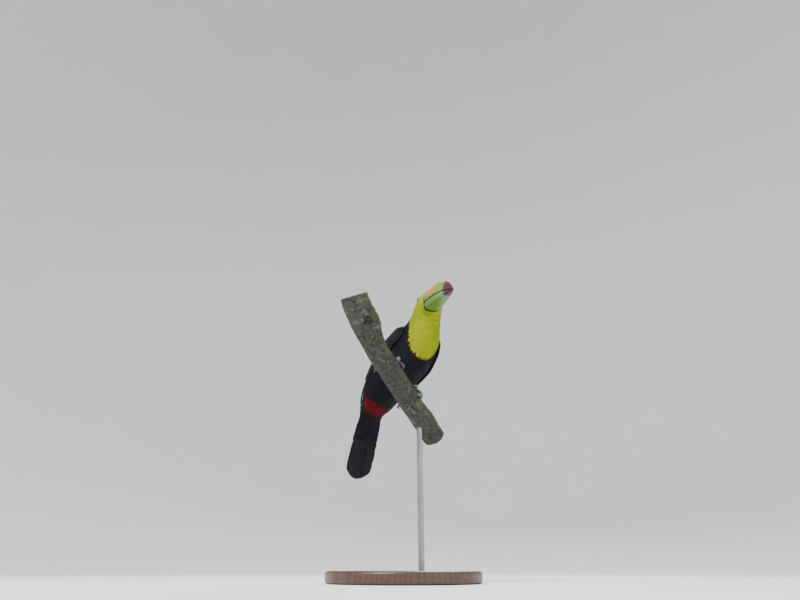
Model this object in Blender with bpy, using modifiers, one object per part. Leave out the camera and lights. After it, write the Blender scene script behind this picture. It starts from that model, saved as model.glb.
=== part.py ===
"""Keel-billed toucan, life size, as a still display model on a cut length of branch and a plain stand.

Metres, +Z up. The origin is the centre of the stand base's underside. The bird is modelled in its own frame,
whose origin lies beside the branch at its feet: +X is the bird's left, +Y its back and +Z up. The empty
"bird_pose" then turns that frame and carries it to the branch.
"""

import math

import bmesh
import bpy
from mathutils import Matrix, Vector

MM = 0.001
GAP = 0.3 * MM  # clearance between neighbouring solids

# Stand
BASE_RADIUS = 125 * MM
BASE_HEIGHT = 18 * MM
BASE_EDGE = 4 * MM
ROD_RADIUS = 5 * MM
ROD_ALONG_BRANCH = 78 * MM  # from the grip, down the branch
SOCKET_DEPTH = 11 * MM

# Branch
GRIP = Vector((-12, -43, 320)) * MM  # on the branch's axis, between the feet
BRANCH_DOWN = Vector((0.520, 0.541, -0.661)).normalized()
BRANCH_RADIUS = 19.8 * MM
BRANCH_ABOVE = 168 * MM
BRANCH_BELOW = 132 * MM
BRANCH_SWELL = 3.6 * MM
BRANCH_BENDS = (0.75, 1.3)  # above and below the grip: greater is straighter
BRANCH_FLARE = 0.22  # how much thicker the upper end is
KNOT_RUN, KNOT_ANGLE = -118 * MM, math.radians(20)
KNOT_LENGTH, KNOT_HEIGHT = 20 * MM, 7.5 * MM
GRIP_ZONE = 46 * MM  # the stretch under the feet, kept round and straight

# Pose of the bird on the branch
YAW = math.radians(28)  # to its own left
LEAN = math.radians(16)  # to its own left
STANCE = Vector((16, 0, 7)) * MM  # from the grip to the bird's origin, in the bird's frame

# The body's stations from tail root to bill base, in millimetres in the bird's frame: left, back and up of the
# centre, then half width, depth to the back and depth to the front.
STATIONS = (
    ("tail_root", (-2.5, 110, -38), 22, 13, 16),
    ("vent", (-3, 98, -16), 31.5, 22, 26),
    ("lower_belly", (0, 84, 12), 37.5, 31, 34),
    ("belly", (6.5, 68, 41), 43.5, 39, 40),
    ("breast", (15.5, 50, 76), 46.5, 42, 43),
    ("shoulder", (19.5, 32, 110), 40.5, 37, 39),
    ("neck", (16, 17, 137), 30, 31, 32),
    ("nape", (11, 7, 152.5), 27, 29, 27.5),
    ("crown", (6, -5, 162.5), 25.5, 27.5, 26),
    ("face", (0.5, -20, 164), 22.5, 25, 24),
    ("bill_base", (-4.5, -35.5, 159.5), 18.5, 22.5, 21.5),
)
TAIL_ROOT, VENT, LOWER_BELLY, BELLY, BREAST, SHOULDER, NECK, NAPE, CROWN, FACE, BILL_BASE = range(len(STATIONS))
NECK_FROM = SHOULDER + 0.15
HEAD_FROM = NECK + 0.62
BODY_SIDES = 22

# Tail
TAIL_TIP = Vector((18.9, 150.6, -152.4)) * MM
TAIL_HALF_WIDTH = 25 * MM
TAIL_FEATHERS = 10
TAIL_ROUNDING = 11 * MM  # how much shorter the outermost pair is
TAIL_START = -6 * MM  # inside the trunk, before it is cut back to it
FEATHER_THICKNESS = 1.1 * MM

# Wing, folded. Its bed follows the trunk and then runs on past the tail root.
WING_THICKNESS = 6.5 * MM
WING_EDGE = 0.9 * MM
WING_ROWS = 25
WING_COLUMNS = 9
WING_FROM = SHOULDER + 0.5  # the bend of the wing
WING_TO = -0.95  # the tip
WING_BED = (  # station, half width and depth to the back in millimetres of the surface the wing lies on
    (-1.1, 22, 15),
    (-0.5, 26, 18),
    (0.0, 29, 20),
    (1.0, 35, 26),
    (2.0, 40, 33),
    (3.0, 44.3, 39.8),
    (4.0, 47.3, 42.8),
    (5.0, 41.6, 37.9),
    (6.0, 33, 32.5),
)

# Bill
BILL_LENGTH = 127 * MM
BILL_PITCH = math.radians(-11)
BILL_TURN = math.radians(-13)  # to the bird's right
BILL_ROLL = math.radians(14)  # the ridge leans to the bird's right
CULMEN_HEIGHT = 27 * MM
MANDIBLE_DEPTH = 15.5 * MM
BILL_HALF_WIDTH = 17.5 * MM
BILL_TAPER = 0.30  # share of its width lost towards the tip, before the tip's own rounding
BILL_DROOP = 15 * MM
MOUTH_LINE = -6.5 * MM  # below the middle of the bill's base
BILL_START = -3.5 * MM  # inside the face, before it is cut back to it
UPPER_SIDES, LOWER_SIDES = 13, 11

# Eyes
EYE_RADIUS = 6.2 * MM
EYE_STATION = FACE - 0.62
EYE_ANGLE = math.radians(108)  # round from the throat
HEAD_ROLL = math.radians(6)  # the head leans with the bill
EYE_SINK = 3.6 * MM

# Legs and feet: two toes forward, two back
LEGS = {  # side, hip and ankle of each leg, in millimetres in the bird's frame
    "left": (1, (16, 80, 30), (24, 38, 7)),
    "right": (-1, (-9, 66, 54), (-24, 28, 36)),
}
THIGH_RINGS, THIGH_SIDES = 7, 12
FOOT_RUNS = {1: 37 * MM, -1: -26 * MM}  # from the grip down the branch: left foot, right foot
FOOT_TILT = math.radians(24)  # how far back of straight up the ball of the foot sits
TARSUS_RADIUS = 3.7 * MM
TUBE_RESOLUTION = 1
# name, direction (+1 forward), length, radius, sideways drift to the bird's left at the tip
TOES = (
    ("inner_front", 1, 31 * MM, 3.5 * MM, -1),
    ("outer_front", 1, 41 * MM, 3.9 * MM, 1),
    ("outer_back", -1, 36 * MM, 3.7 * MM, 1),
    ("inner_back", -1, 21 * MM, 3.4 * MM, -1),
)
TOE_SPLAY = 8.5 * MM
CLAW_LENGTH = 12 * MM
CLAW_RADIUS = 2.1 * MM


# ---------------------------------------------------------------- scene and materials


def clear_scene():
    for obj in list(bpy.data.objects):
        bpy.data.objects.remove(obj, do_unlink=True)


def make_collection(name):
    collection = bpy.data.collections.new(name)
    bpy.context.scene.collection.children.link(collection)
    return collection


def material(name, colour, roughness, metallic=0.0):
    mat = bpy.data.materials.new(name)
    mat.use_nodes = True
    shader = mat.node_tree.nodes["Principled BSDF"]
    shader.inputs["Base Color"].default_value = (*colour, 1.0)
    shader.inputs["Roughness"].default_value = roughness
    shader.inputs["Metallic"].default_value = metallic
    return mat


def make_materials():
    return {
        "black_plumage": material("black_plumage", (0.012, 0.012, 0.016), 0.55),
        "yellow_plumage": material("yellow_plumage", (0.80, 0.70, 0.04), 0.65),
        "bill_green": material("bill_green", (0.36, 0.58, 0.09), 0.35),
        "lower_bill": material("lower_bill", (0.30, 0.55, 0.32), 0.35),
        "eye": material("eye", (0.02, 0.02, 0.015), 0.08),
        "blue_skin": material("blue_skin", (0.20, 0.38, 0.45), 0.5),
        "claw_horn": material("claw_horn", (0.03, 0.03, 0.035), 0.4),
        "bark": material("bark", (0.17, 0.16, 0.12), 0.9),
        "stand_steel": material("stand_steel", (0.55, 0.55, 0.55), 0.35, 1.0),
        "stand_wood": material("stand_wood", (0.10, 0.055, 0.03), 0.45),
    }


# ---------------------------------------------------------------- small geometry tools


def blend(values, s):
    """Catmull-Rom through evenly spaced values, with straight run-on past both ends."""
    last = len(values) - 1
    if s <= 0:
        return values[0] + (values[1] - values[0]) * s
    if s >= last:
        return values[last] + (values[last] - values[last - 1]) * (s - last)
    i = min(int(s), last - 1)
    t = s - i
    b, c = values[i], values[i + 1]
    a = values[i - 1] if i > 0 else b + (b - c)
    d = values[i + 2] if i + 2 <= last else c + (c - b)
    return 0.5 * (
        2 * b + (c - a) * t + (2 * a - 5 * b + 4 * c - d) * t * t + (3 * b - a - 3 * c + d) * t * t * t
    )


def mix(a, b, t):
    return a + (b - a) * t


def smooth(t):
    t = max(0.0, min(1.0, t))
    return t * t * (3 - 2 * t)


def new_object(name, mesh, mat, collection, parent=None):
    obj = bpy.data.objects.new(name, mesh)
    collection.objects.link(obj)
    obj.data.materials.append(mat)
    obj.parent = parent
    return obj


def closed_mesh(name, points, faces):
    mesh = bpy.data.meshes.new(name)
    mesh.from_pydata(points, [], faces)
    work = bmesh.new()
    work.from_mesh(mesh)
    bmesh.ops.recalc_face_normals(work, faces=work.faces)
    bmesh.ops.triangulate(work, faces=work.faces)
    work.to_mesh(mesh)
    work.free()
    mesh.shade_smooth()
    mesh.set_sharp_from_angle(angle=math.radians(40))
    return mesh


def loft(name, rings):
    """One closed mesh through rings of equal length, capped at both ends."""
    sides = len(rings[0])
    points = [p for ring in rings for p in ring]
    faces = [tuple(range(sides)), tuple(range(len(points) - sides, len(points)))]
    for r in range(len(rings) - 1):
        for k in range(sides):
            n = (k + 1) % sides
            faces.append((r * sides + k, r * sides + n, (r + 1) * sides + n, (r + 1) * sides + k))
    return closed_mesh(name, points, faces)


def plate(name, upper, lower):
    """One closed mesh between two grids of points that share a rim's layout."""
    rows, columns = len(upper), len(upper[0])
    points = [p for row in upper for p in row] + [p for row in lower for p in row]
    half = rows * columns

    def at(i, j):
        return i * columns + j

    faces = []
    for i in range(rows - 1):
        for j in range(columns - 1):
            quad = (at(i, j), at(i + 1, j), at(i + 1, j + 1), at(i, j + 1))
            faces.append(quad)
            faces.append(tuple(half + q for q in quad))
    rim = [at(i, 0) for i in range(rows)]
    rim += [at(rows - 1, j) for j in range(1, columns)]
    rim += [at(i, columns - 1) for i in range(rows - 2, -1, -1)]
    rim += [at(0, j) for j in range(columns - 2, 0, -1)]
    for k, a in enumerate(rim):
        b = rim[(k + 1) % len(rim)]
        faces.append((a, b, half + b, half + a))
    return closed_mesh(name, points, faces)


def tube(name, points, radii, mat, collection, resolution=TUBE_RESOLUTION):
    """A mesh tube along points with a radius at each, made from a bevelled curve and welded at its caps."""
    curve = bpy.data.curves.new(name, "CURVE")
    curve.dimensions = "3D"
    curve.fill_mode = "FULL"
    curve.bevel_depth = 1.0
    curve.bevel_resolution = resolution
    curve.use_fill_caps = True
    spline = curve.splines.new("POLY")
    spline.points.add(len(points) - 1)
    for spot, p, r in zip(spline.points, points, radii):
        spot.co = (*p, 1.0)
        spot.radius = r
    guide = bpy.data.objects.new(name + "_guide", curve)
    collection.objects.link(guide)
    graph = bpy.context.evaluated_depsgraph_get()
    mesh = bpy.data.meshes.new_from_object(guide.evaluated_get(graph))
    bpy.data.objects.remove(guide, do_unlink=True)
    work = bmesh.new()
    work.from_mesh(mesh)
    bmesh.ops.remove_doubles(work, verts=work.verts, dist=0.02 * MM)
    bmesh.ops.recalc_face_normals(work, faces=work.faces)
    work.to_mesh(mesh)
    work.free()
    mesh.name = name
    mesh.materials.clear()
    mesh.shade_smooth()
    return new_object(name, mesh, mat, collection)


def boolean(obj, other, operation):
    modifier = obj.modifiers.new(operation.lower() + "_" + other.name, "BOOLEAN")
    modifier.operation = operation
    modifier.solver = "EXACT"
    modifier.object = other
    other.hide_render = True
    other.display_type = "WIRE"


# ---------------------------------------------------------------- the body's shape


def body_centre(s):
    return blend([Vector(row[1]) * MM for row in STATIONS], s)


def body_frame(s):
    """Centre, left, front and headward directions of the body's section at station s."""
    step = 0.02
    along = (body_centre(s + step) - body_centre(s - step)).normalized()
    left = Vector((1, 0, 0))
    left = (left - along * left.dot(along)).normalized()
    return body_centre(s), left, left.cross(along), along


def body_sizes(s):
    return [blend([row[k] for row in STATIONS], s) * MM for k in (2, 3, 4)]


def body_point(s, angle, grow=0.0):
    """A point on the body's surface: angle runs from the throat side round by the left."""
    centre, left, front, _ = body_frame(s)
    half_width, to_back, to_front = body_sizes(s)
    depth = to_front if math.cos(angle) > 0 else to_back
    return (
        centre
        + left * (half_width + grow) * math.sin(angle)
        + front * (depth + grow) * math.cos(angle)
    )


def body_loft(name, first, last, rings, grow=0.0):
    shape = []
    for i in range(rings):
        s = mix(first, last, i / (rings - 1))
        shape.append([body_point(s, math.tau * k / BODY_SIDES, grow) for k in range(BODY_SIDES)])
    return loft(name, shape)


def station_step(s):
    """How far s moves for one gap's length along the spine."""
    return GAP / ((body_centre(s + 0.05) - body_centre(s - 0.05)).length / 0.1)


def make_body(mats, parts, pose, cutters):
    trunk_mesh = body_loft("trunk", TAIL_ROOT + station_step(0), NECK_FROM, 18)
    trunk = new_object("trunk", trunk_mesh, mats["black_plumage"], parts, pose)
    neck_mesh = body_loft("neck", NECK_FROM + station_step(NECK_FROM), HEAD_FROM, 5)
    neck = new_object("neck", neck_mesh, mats["yellow_plumage"], parts, pose)
    head_mesh = body_loft("head", HEAD_FROM + station_step(HEAD_FROM), BILL_BASE, 14)
    head = new_object("head", head_mesh, mats["yellow_plumage"], parts, pose)
    for side, name in ((1, "left"), (-1, "right")):
        make_eye(side, name, head, mats, parts, pose, cutters)
    return trunk, neck, head


def make_eye(side, name, head, mats, parts, pose, cutters):
    """A ball set in a socket in the head's side."""
    centre = body_frame(EYE_STATION)[0]
    surface = body_point(EYE_STATION, side * EYE_ANGLE + HEAD_ROLL)
    place = surface - (surface - centre).normalized() * EYE_SINK
    for label, radius in (("eye_" + name, EYE_RADIUS), ("socket_" + name, EYE_RADIUS + GAP)):
        mesh = bpy.data.meshes.new(label)
        work = bmesh.new()
        bmesh.ops.create_uvsphere(work, u_segments=14, v_segments=8, radius=radius)
        work.to_mesh(mesh)
        work.free()
        mesh.shade_smooth()
        is_eye = label.startswith("eye_")
        ball = new_object(label, mesh, mats["eye"], parts if is_eye else cutters, pose)
        ball.location = place
        if not is_eye:
            boolean(head, ball, "DIFFERENCE")


# ---------------------------------------------------------------- tail and wings


def tail_frame():
    """Root, direction, left and front directions of the tail."""
    root = body_centre(TAIL_ROOT)
    along = (TAIL_TIP - root).normalized()
    left = Vector((1, 0, 0))
    left = (left - along * left.dot(along)).normalized()
    front = left.cross(along)
    return root, along, left, front if front.y < 0 else -front


def tail_reach(across):
    """How far the tail runs at this place across it: rounded, with one scallop for each feather."""
    full = (TAIL_TIP - body_centre(TAIL_ROOT)).length
    lobe = abs(math.sin(math.pi * (across + 1) / 2 * TAIL_FEATHERS))
    return full - TAIL_ROUNDING * abs(across) ** 2.2 - 2.6 * MM * (1 - lobe**0.6)


def make_tail(trunk_cutter, mats, parts, pose):
    """A flat fan that starts with the trunk's section and thins towards the tips of the feathers."""
    root, along, left, front = tail_frame()
    rows, columns = 9, 31
    upper, lower = [], []
    half_width, to_back, to_front = body_sizes(TAIL_ROOT)
    for i in range(rows):
        t = i / (rows - 1)
        run = t**0.9
        width = mix(half_width, TAIL_HALF_WIDTH, smooth(t * 2.2)) * mix(0.96, 1.0, t)
        top_row, bottom_row = [], []
        for j in range(columns):
            across = 2 * j / (columns - 1) - 1
            reach = mix(TAIL_START, tail_reach(across), run)
            round_part = math.sqrt(max(0.0, 1 - (abs(across) * 0.985) ** 2))
            thin = smooth(t * 2.4)
            back = mix(to_back * round_part, 2.2 * MM * round_part + FEATHER_THICKNESS, thin)
            ahead = mix(to_front * round_part, 1.2 * MM * round_part + FEATHER_THICKNESS * 0.5, thin)
            taper = mix(1.0, 0.45, smooth((t - 0.6) / 0.4))
            middle = root + along * reach + left * width * across
            arch = front * (-1.8 * MM * across**2 * thin) * -1
            top_row.append(middle + arch - front * max(back * taper, 0.35 * MM))
            bottom_row.append(middle + arch + front * max(ahead * taper, 0.35 * MM))
        upper.append(top_row)
        lower.append(bottom_row)
    tail = new_object("tail", plate("tail", upper, lower), mats["black_plumage"], parts, pose)
    boolean(tail, trunk_cutter, "DIFFERENCE")


def wing_bed(s):
    for (s0, w0, d0), (s1, w1, d1) in zip(WING_BED, WING_BED[1:]):
        if s <= s1:
            t = max(0.0, (s - s0) / (s1 - s0))
            return mix(w0, w1, t) * MM, mix(d0, d1, t) * MM
    return WING_BED[-1][1] * MM, WING_BED[-1][2] * MM


def wing_section(s):
    """The body's section, or past the tail root one carried on along the tail."""
    if s >= 0:
        return body_frame(s)[:3]
    root, left, front, headward = body_frame(0)
    _, along, _, _ = tail_frame()
    step = (body_centre(1) - body_centre(0)).length
    way = (along * 0.55 - headward * 0.45).normalized()
    return root + way * step * -s, left, front


def wing_edges(t):
    """Angles of the wing's lower and upper edge at t, from the bend (0) to the tip (1)."""
    low = mix(math.radians(68), math.radians(116), smooth((t - 0.15) / 0.85))
    high = mix(math.radians(128), math.radians(172), smooth(t / 0.55))
    opening = min(1.0, math.sqrt(max(0.0, t) / 0.13 + 0.02))
    closing = min(1.0, ((1 - t) / 0.45 + 0.015) ** 0.62)
    middle = mix(mix(low, high, 0.42), mix(low, high, 0.62), t)
    share = opening * closing
    return mix(middle, low, share), mix(middle, high, share)


def wing_point(side, t, v, lift):
    s = mix(WING_FROM, WING_TO, t)
    low, high = wing_edges(t)
    angle = mix(low, high, v)
    centre, left, front = wing_section(s)
    half_width, to_back = wing_bed(s)
    to_front = max(half_width * 0.9, to_back)
    depth = to_front if math.cos(angle) > 0 else to_back
    grow = GAP + lift
    across = left * side * (half_width + grow) * math.sin(angle)
    return centre + across + front * (depth + grow) * math.cos(angle)


def make_wing(side, name, mats, parts, pose):
    """A crescent shell over the flank, thickest over the arm and stepped where the coverts end."""
    upper, lower = [], []
    for i in range(WING_ROWS):
        t = i / (WING_ROWS - 1)
        outer_row, inner_row = [], []
        for j in range(WING_COLUMNS):
            v = j / (WING_COLUMNS - 1)
            body = math.sin(math.pi * min(1.0, max(0.0, v))) ** 0.55
            arm = mix(1.0, 0.42, smooth((t - 0.15) / 0.75)) * min(1.0, math.sqrt(t / 0.1 + 0.04))
            coverts = 0.9 * MM * (1 - smooth((t - (0.46 + 0.1 * v)) / 0.05))
            lift = WING_EDGE + (WING_THICKNESS * arm + coverts) * body
            outer_row.append(wing_point(side, t, v, lift))
            inner_row.append(wing_point(side, t, v, 0.0))
        upper.append(outer_row)
        lower.append(inner_row)
    mesh = plate("wing_" + name, upper, lower)
    return new_object("wing_" + name, mesh, mats["black_plumage"], parts, pose)


# ---------------------------------------------------------------- bill


def bill_matrix():
    """Carries the bill's frame (+Y forward, +Z up, origin at the middle of its base) into the bird's."""
    turn = Matrix.Rotation(math.pi + BILL_TURN, 4, "Z") @ Matrix.Rotation(BILL_PITCH, 4, "X")
    return Matrix.Translation(body_centre(BILL_BASE)) @ turn @ Matrix.Rotation(BILL_ROLL, 4, "Y")


def bill_shape(t):
    """Half width, ridge height, lower jaw's depth and the mouth line's drop at t along the bill."""
    t = max(0.0, t)
    width = BILL_HALF_WIDTH * max(0.0, 1 - t**2.3) ** 0.62 * (1 - BILL_TAPER * t)
    swell = 1 + 0.03 * math.sin(math.pi * min(1, t * 1.3))
    ridge = CULMEN_HEIGHT * swell * max(0.0, 1 - t**3.0) ** 0.72
    jaw = MANDIBLE_DEPTH * max(0.0, 1 - (t / 0.965) ** 2.8) ** 0.8
    drop = BILL_DROOP * t**2.1
    return width, ridge, jaw, drop


def upper_ring(t, sides):
    """Section of the upper jaw: a rounded keel over sides that swell to the cutting edge."""
    width, ridge, _, drop = bill_shape(t)
    ring = []
    for k in range(sides):
        u = k / (sides - 1)
        across = math.cos(math.pi * u)
        height = math.sin(math.pi * u) ** 0.82
        pinch = 1 - 0.16 * height**2
        ring.append(Vector((across * width * pinch, t * BILL_LENGTH, height * ridge - drop + MOUTH_LINE)))
    return ring


def lower_ring(t, sides):
    width, _, jaw, drop = bill_shape(t)
    ring = []
    for k in range(sides):
        u = k / (sides - 1)
        across = -math.cos(math.pi * u) * 0.9
        height = math.sin(math.pi * u) ** 0.42
        ring.append(Vector((across * width, t * BILL_LENGTH, -height * jaw - drop + MOUTH_LINE - GAP)))
    return ring


def make_bill(mats, parts, pose, cutters):
    """Both jaws, let back into the face and cut to it."""
    place = bill_matrix()
    last = BILL_BASE + station_step(BILL_BASE)
    face = body_loft("face_cutter", FACE - 1, last, 12, GAP)
    face_cutter = new_object("face_cutter", face, mats["yellow_plumage"], cutters, pose)
    for name, ring, sides, end, mat in (
        ("bill_upper", upper_ring, UPPER_SIDES, 0.995, "bill_green"),
        ("bill_lower", lower_ring, LOWER_SIDES, 0.95, "lower_bill"),
    ):
        rings = []
        steps = 16
        for i in range(steps):
            t = mix(BILL_START / BILL_LENGTH, end, (i / (steps - 1)) ** 0.86)
            rings.append([place @ p for p in ring(t, sides)])
        jaw = new_object(name, loft(name, rings), mats[mat], parts, pose)
        boolean(jaw, face_cutter, "DIFFERENCE")


# ---------------------------------------------------------------- branch and stand


def branch_frame():
    """Across and over directions of the branch: 'over' is the side nearest straight up."""
    over = (Vector((0, 0, 1)) - BRANCH_DOWN * BRANCH_DOWN.z).normalized()
    return BRANCH_DOWN.cross(over), over


def branch_axis(run):
    """Point of the axis at run along it from the grip: straight under the feet, bending beyond them."""
    across, over = branch_frame()
    beyond = max(0.0, abs(run) - GRIP_ZONE)
    above, below = BRANCH_BENDS
    bend = beyond**2 / (above if run < 0 else below)
    return GRIP + BRANCH_DOWN * run + over * bend + across * bend * (0.3 if run < 0 else -0.4)


def branch_radius(run, angle):
    beyond = smooth((abs(run) - GRIP_ZONE * 0.9) / (30 * MM))
    lumps = 0.45 * math.sin(3 * angle + run * 70) + 0.3 * math.sin(5 * angle - run * 110 + 1.3)
    knot = math.exp(-(((run - KNOT_RUN) / KNOT_LENGTH) ** 2)) * max(0.0, math.cos(angle - KNOT_ANGLE)) ** 1.2
    flare = BRANCH_FLARE * smooth((-run - 60 * MM) / (100 * MM))
    return BRANCH_RADIUS * (1 + flare) + beyond * (BRANCH_SWELL * 0.42 * lumps + KNOT_HEIGHT * knot)


def make_branch(mats, parts):
    across, _ = branch_frame()
    rows, sides = 24, 20
    rings = []
    for i in range(rows):
        run = mix(-BRANCH_ABOVE, BRANCH_BELOW, i / (rows - 1))
        centre = branch_axis(run)
        along = (branch_axis(run + 1 * MM) - branch_axis(run - 1 * MM)).normalized()
        side = (across - along * across.dot(along)).normalized()
        top = side.cross(along)
        ring = []
        for k in range(sides):
            angle = math.tau * k / sides
            radius = branch_radius(run, angle)
            ring.append(centre + (side * math.cos(angle) + top * math.sin(angle)) * radius)
        rings.append(ring)
    return new_object("perch_branch", loft("perch_branch", rings), mats["bark"], parts)


def cylinder(name, radius, bottom, top, x, y, mat, collection, vertices):
    bpy.ops.mesh.primitive_cylinder_add(
        vertices=vertices, radius=radius, depth=top - bottom, location=(x, y, (top + bottom) / 2)
    )
    obj = bpy.context.object
    obj.name = name
    obj.data.name = name
    obj.data.materials.append(mat)
    for owner in list(obj.users_collection):
        owner.objects.unlink(obj)
    collection.objects.link(obj)
    return obj


def make_stand(branch, mats, parts, cutters):
    """A turned disc and one upright rod that is let into the disc and the branch."""
    foot = branch_axis(ROD_ALONG_BRANCH)
    steep = math.sqrt(1 - BRANCH_DOWN.z**2)
    rod_top = foot.z - BRANCH_RADIUS / steep + SOCKET_DEPTH
    rod_bottom = BASE_HEIGHT - SOCKET_DEPTH
    steel, wood = mats["stand_steel"], mats["stand_wood"]
    base = cylinder("stand_base", BASE_RADIUS, 0, BASE_HEIGHT, 0, 0, wood, parts, 52)
    edge = base.modifiers.new("edge", "BEVEL")
    edge.width = BASE_EDGE
    edge.segments = 2
    edge.limit_method = "ANGLE"
    rod = cylinder("stand_rod", ROD_RADIUS, rod_bottom, rod_top, foot.x, foot.y, steel, parts, 24)
    for owner, bottom, top in (
        (base, rod_bottom - GAP, BASE_HEIGHT + SOCKET_DEPTH),
        (branch, rod_top - 3 * SOCKET_DEPTH, rod_top + GAP),
    ):
        name = "bore_" + owner.name
        bore = cylinder(name, ROD_RADIUS + GAP, bottom, top, foot.x, foot.y, steel, cutters, 24)
        boolean(owner, bore, "DIFFERENCE")
    for turned in (base, rod):
        turned.data.shade_smooth()
        turned.data.set_sharp_from_angle(angle=math.radians(30))


# ---------------------------------------------------------------- legs and feet


def foot_frame(side, to_bird):
    """The branch under one foot, in the bird's frame: axis point, ball, front and leftward directions."""
    turn = to_bird.to_3x3()
    down = (turn @ BRANCH_DOWN).normalized()
    axis = to_bird @ branch_axis(FOOT_RUNS[side])
    ball = Vector((0, math.sin(FOOT_TILT), math.cos(FOOT_TILT)))
    ball = (ball - down * ball.dot(down)).normalized()
    front = down.cross(ball)
    if front.y > 0:
        front = -front
    return axis, ball, front, down


def toe_path(frame, direction, length, radius, drift, count=7):
    """Centres of a toe that wraps the branch from a little behind the ball of the foot."""
    axis, ball, front, down = frame
    reach = BRANCH_RADIUS + radius + 2 * GAP
    points = []
    for i in range(count):
        run = mix(-0.8 * radius, length, i / (count - 1))
        angle = run / reach
        across = down * drift * TOE_SPLAY * smooth(run / length) ** 0.8
        out = ball * math.cos(angle) + front * direction * math.sin(angle)
        points.append(axis + across + out * reach)
    return points


def toe_radii(radius, count):
    """Three pads along each toe, narrowing to the claw."""
    radii = []
    for i in range(count):
        t = i / (count - 1)
        pad = 0.09 * math.cos(t * math.tau * 2.5)
        radii.append(radius * mix(1.05, 0.72, t) * (1 - pad * 0.6))
    return radii


def make_foot(side, name, to_bird, ankle, mats, parts, pose, cutters):
    """The shank and four toes in one body, with a claw past the end of each toe."""
    frame = foot_frame(side, to_bird)
    axis, ball, _, _ = frame
    skin, horn = mats["blue_skin"], mats["claw_horn"]
    reach = BRANCH_RADIUS + TOES[0][3] + 2 * GAP
    sole = axis + ball * (reach + 0.6 * MM)
    shank = (sole - ankle).normalized()
    path = [ankle + shank * GAP, mix(ankle, sole, 0.25), mix(ankle, sole, 0.55), mix(ankle, sole, 0.85), sole]
    radii = [TARSUS_RADIUS * k for k in (1.32, 1.08, 0.98, 1.04, 1.12)]
    foot = tube("foot_" + name, path, radii, skin, parts)
    for label, direction, length, radius, drift in TOES:
        spread = side * drift
        points = toe_path(frame, direction, length, radius, spread)
        toe = tube(f"toe_{name}_{label}", points, toe_radii(radius, len(points)), skin, cutters)
        toe.parent = pose
        boolean(foot, toe, "UNION")
        make_claw(f"claw_{name}_{label}", frame, direction, length, radius, spread, horn, parts, pose)
    foot.parent = pose


def make_claw(name, frame, direction, length, radius, drift, mat, parts, pose):
    """A hook that starts past the end of the toe and comes down to the bark."""
    axis, ball, front, down = frame
    reach = BRANCH_RADIUS + radius + 2 * GAP
    turned = (length + 2.4 * GAP) / reach
    end_radius = CLAW_RADIUS * radius / TOES[1][3]
    points, radii = [], []
    steps = 5
    for i in range(steps):
        t = i / (steps - 1)
        angle = turned + t * CLAW_LENGTH / reach
        rise = 1.6 * MM * math.sin(math.pi * min(1.0, t * 1.25)) - (radius - 0.8 * MM) * t**2.2
        out = ball * math.cos(angle) + front * direction * math.sin(angle)
        points.append(axis + down * drift * TOE_SPLAY * (1 + 0.08 * t) + out * (reach + rise))
        radii.append(mix(end_radius, 0.35 * MM, t**0.9))
    claw = tube(name, points, radii, mat, parts)
    claw.parent = pose




def make_leg(name, trunk_cutter, to_bird, mats, parts, pose, cutters):
    """The feathered thigh, cut to the belly, with the bare foot below it."""
    side, hip, ankle = LEGS[name]
    hip, ankle = Vector(hip) * MM, Vector(ankle) * MM
    axis, ball, _, _ = foot_frame(side, to_bird)
    sole = axis + ball * (BRANCH_RADIUS + TOES[0][3])
    shank = (sole - ankle).normalized()
    knee = mix(hip, ankle, 0.55) + Vector((side * 3, -2, -3)) * MM
    rings = []
    for i in range(THIGH_RINGS):
        t = i / (THIGH_RINGS - 1)
        spot = blend([hip, knee, ankle - shank * 3 * MM, ankle], t * 3)
        ahead = blend([hip, knee, ankle - shank * 3 * MM, ankle], t * 3 + 0.05)
        along = shank if i == THIGH_RINGS - 1 else (ahead - spot).normalized()
        across = Vector((1, 0, 0))
        across = (across - along * across.dot(along)).normalized()
        up = across.cross(along)
        wide = mix(16 * MM, 5.4 * MM, smooth(t) ** 0.9)
        rings.append(
            [
                spot + (across * math.cos(a) * 0.92 + up * math.sin(a)) * wide
                for a in (math.tau * k / THIGH_SIDES for k in range(THIGH_SIDES))
            ]
        )
    leg = new_object("leg_" + name, loft("leg_" + name, rings), mats["black_plumage"], parts, pose)
    boolean(leg, trunk_cutter, "DIFFERENCE")
    make_foot(side, name, to_bird, ankle, mats, parts, pose, cutters)


# ---------------------------------------------------------------- assembly


def main():
    clear_scene()
    mats = make_materials()
    parts = make_collection("keel_billed_toucan")
    cutters = make_collection("cutters")
    pose = bpy.data.objects.new("bird_pose", None)
    turn = Matrix.Rotation(YAW, 4, "Z") @ Matrix.Rotation(LEAN, 4, "Y")
    pose.rotation_euler = turn.to_euler()
    pose.location = GRIP + turn.to_3x3() @ STANCE
    parts.objects.link(pose)
    bpy.context.view_layer.update()
    to_bird = pose.matrix_world.inverted()

    make_body(mats, parts, pose, cutters)
    first = TAIL_ROOT - station_step(TAIL_ROOT)
    trunk_mesh = body_loft("trunk_cutter", first, NECK_FROM, 18, GAP)
    trunk_cutter = new_object("trunk_cutter", trunk_mesh, mats["black_plumage"], cutters, pose)
    make_tail(trunk_cutter, mats, parts, pose)
    make_bill(mats, parts, pose, cutters)
    for side, name in ((1, "left"), (-1, "right")):
        make_wing(side, name, mats, parts, pose)
    for name in LEGS:
        make_leg(name, trunk_cutter, to_bird, mats, parts, pose, cutters)
    branch = make_branch(mats, parts)
    make_stand(branch, mats, parts, cutters)


main()
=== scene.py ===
"""Looks for the keel-billed toucan on its cut branch and plain stand: skin, plumage, bill, eyes, feet, bark."""

import math

import bmesh
import bpy
import numpy as np
from mathutils import Matrix, Vector
from mathutils.kdtree import KDTree


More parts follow.
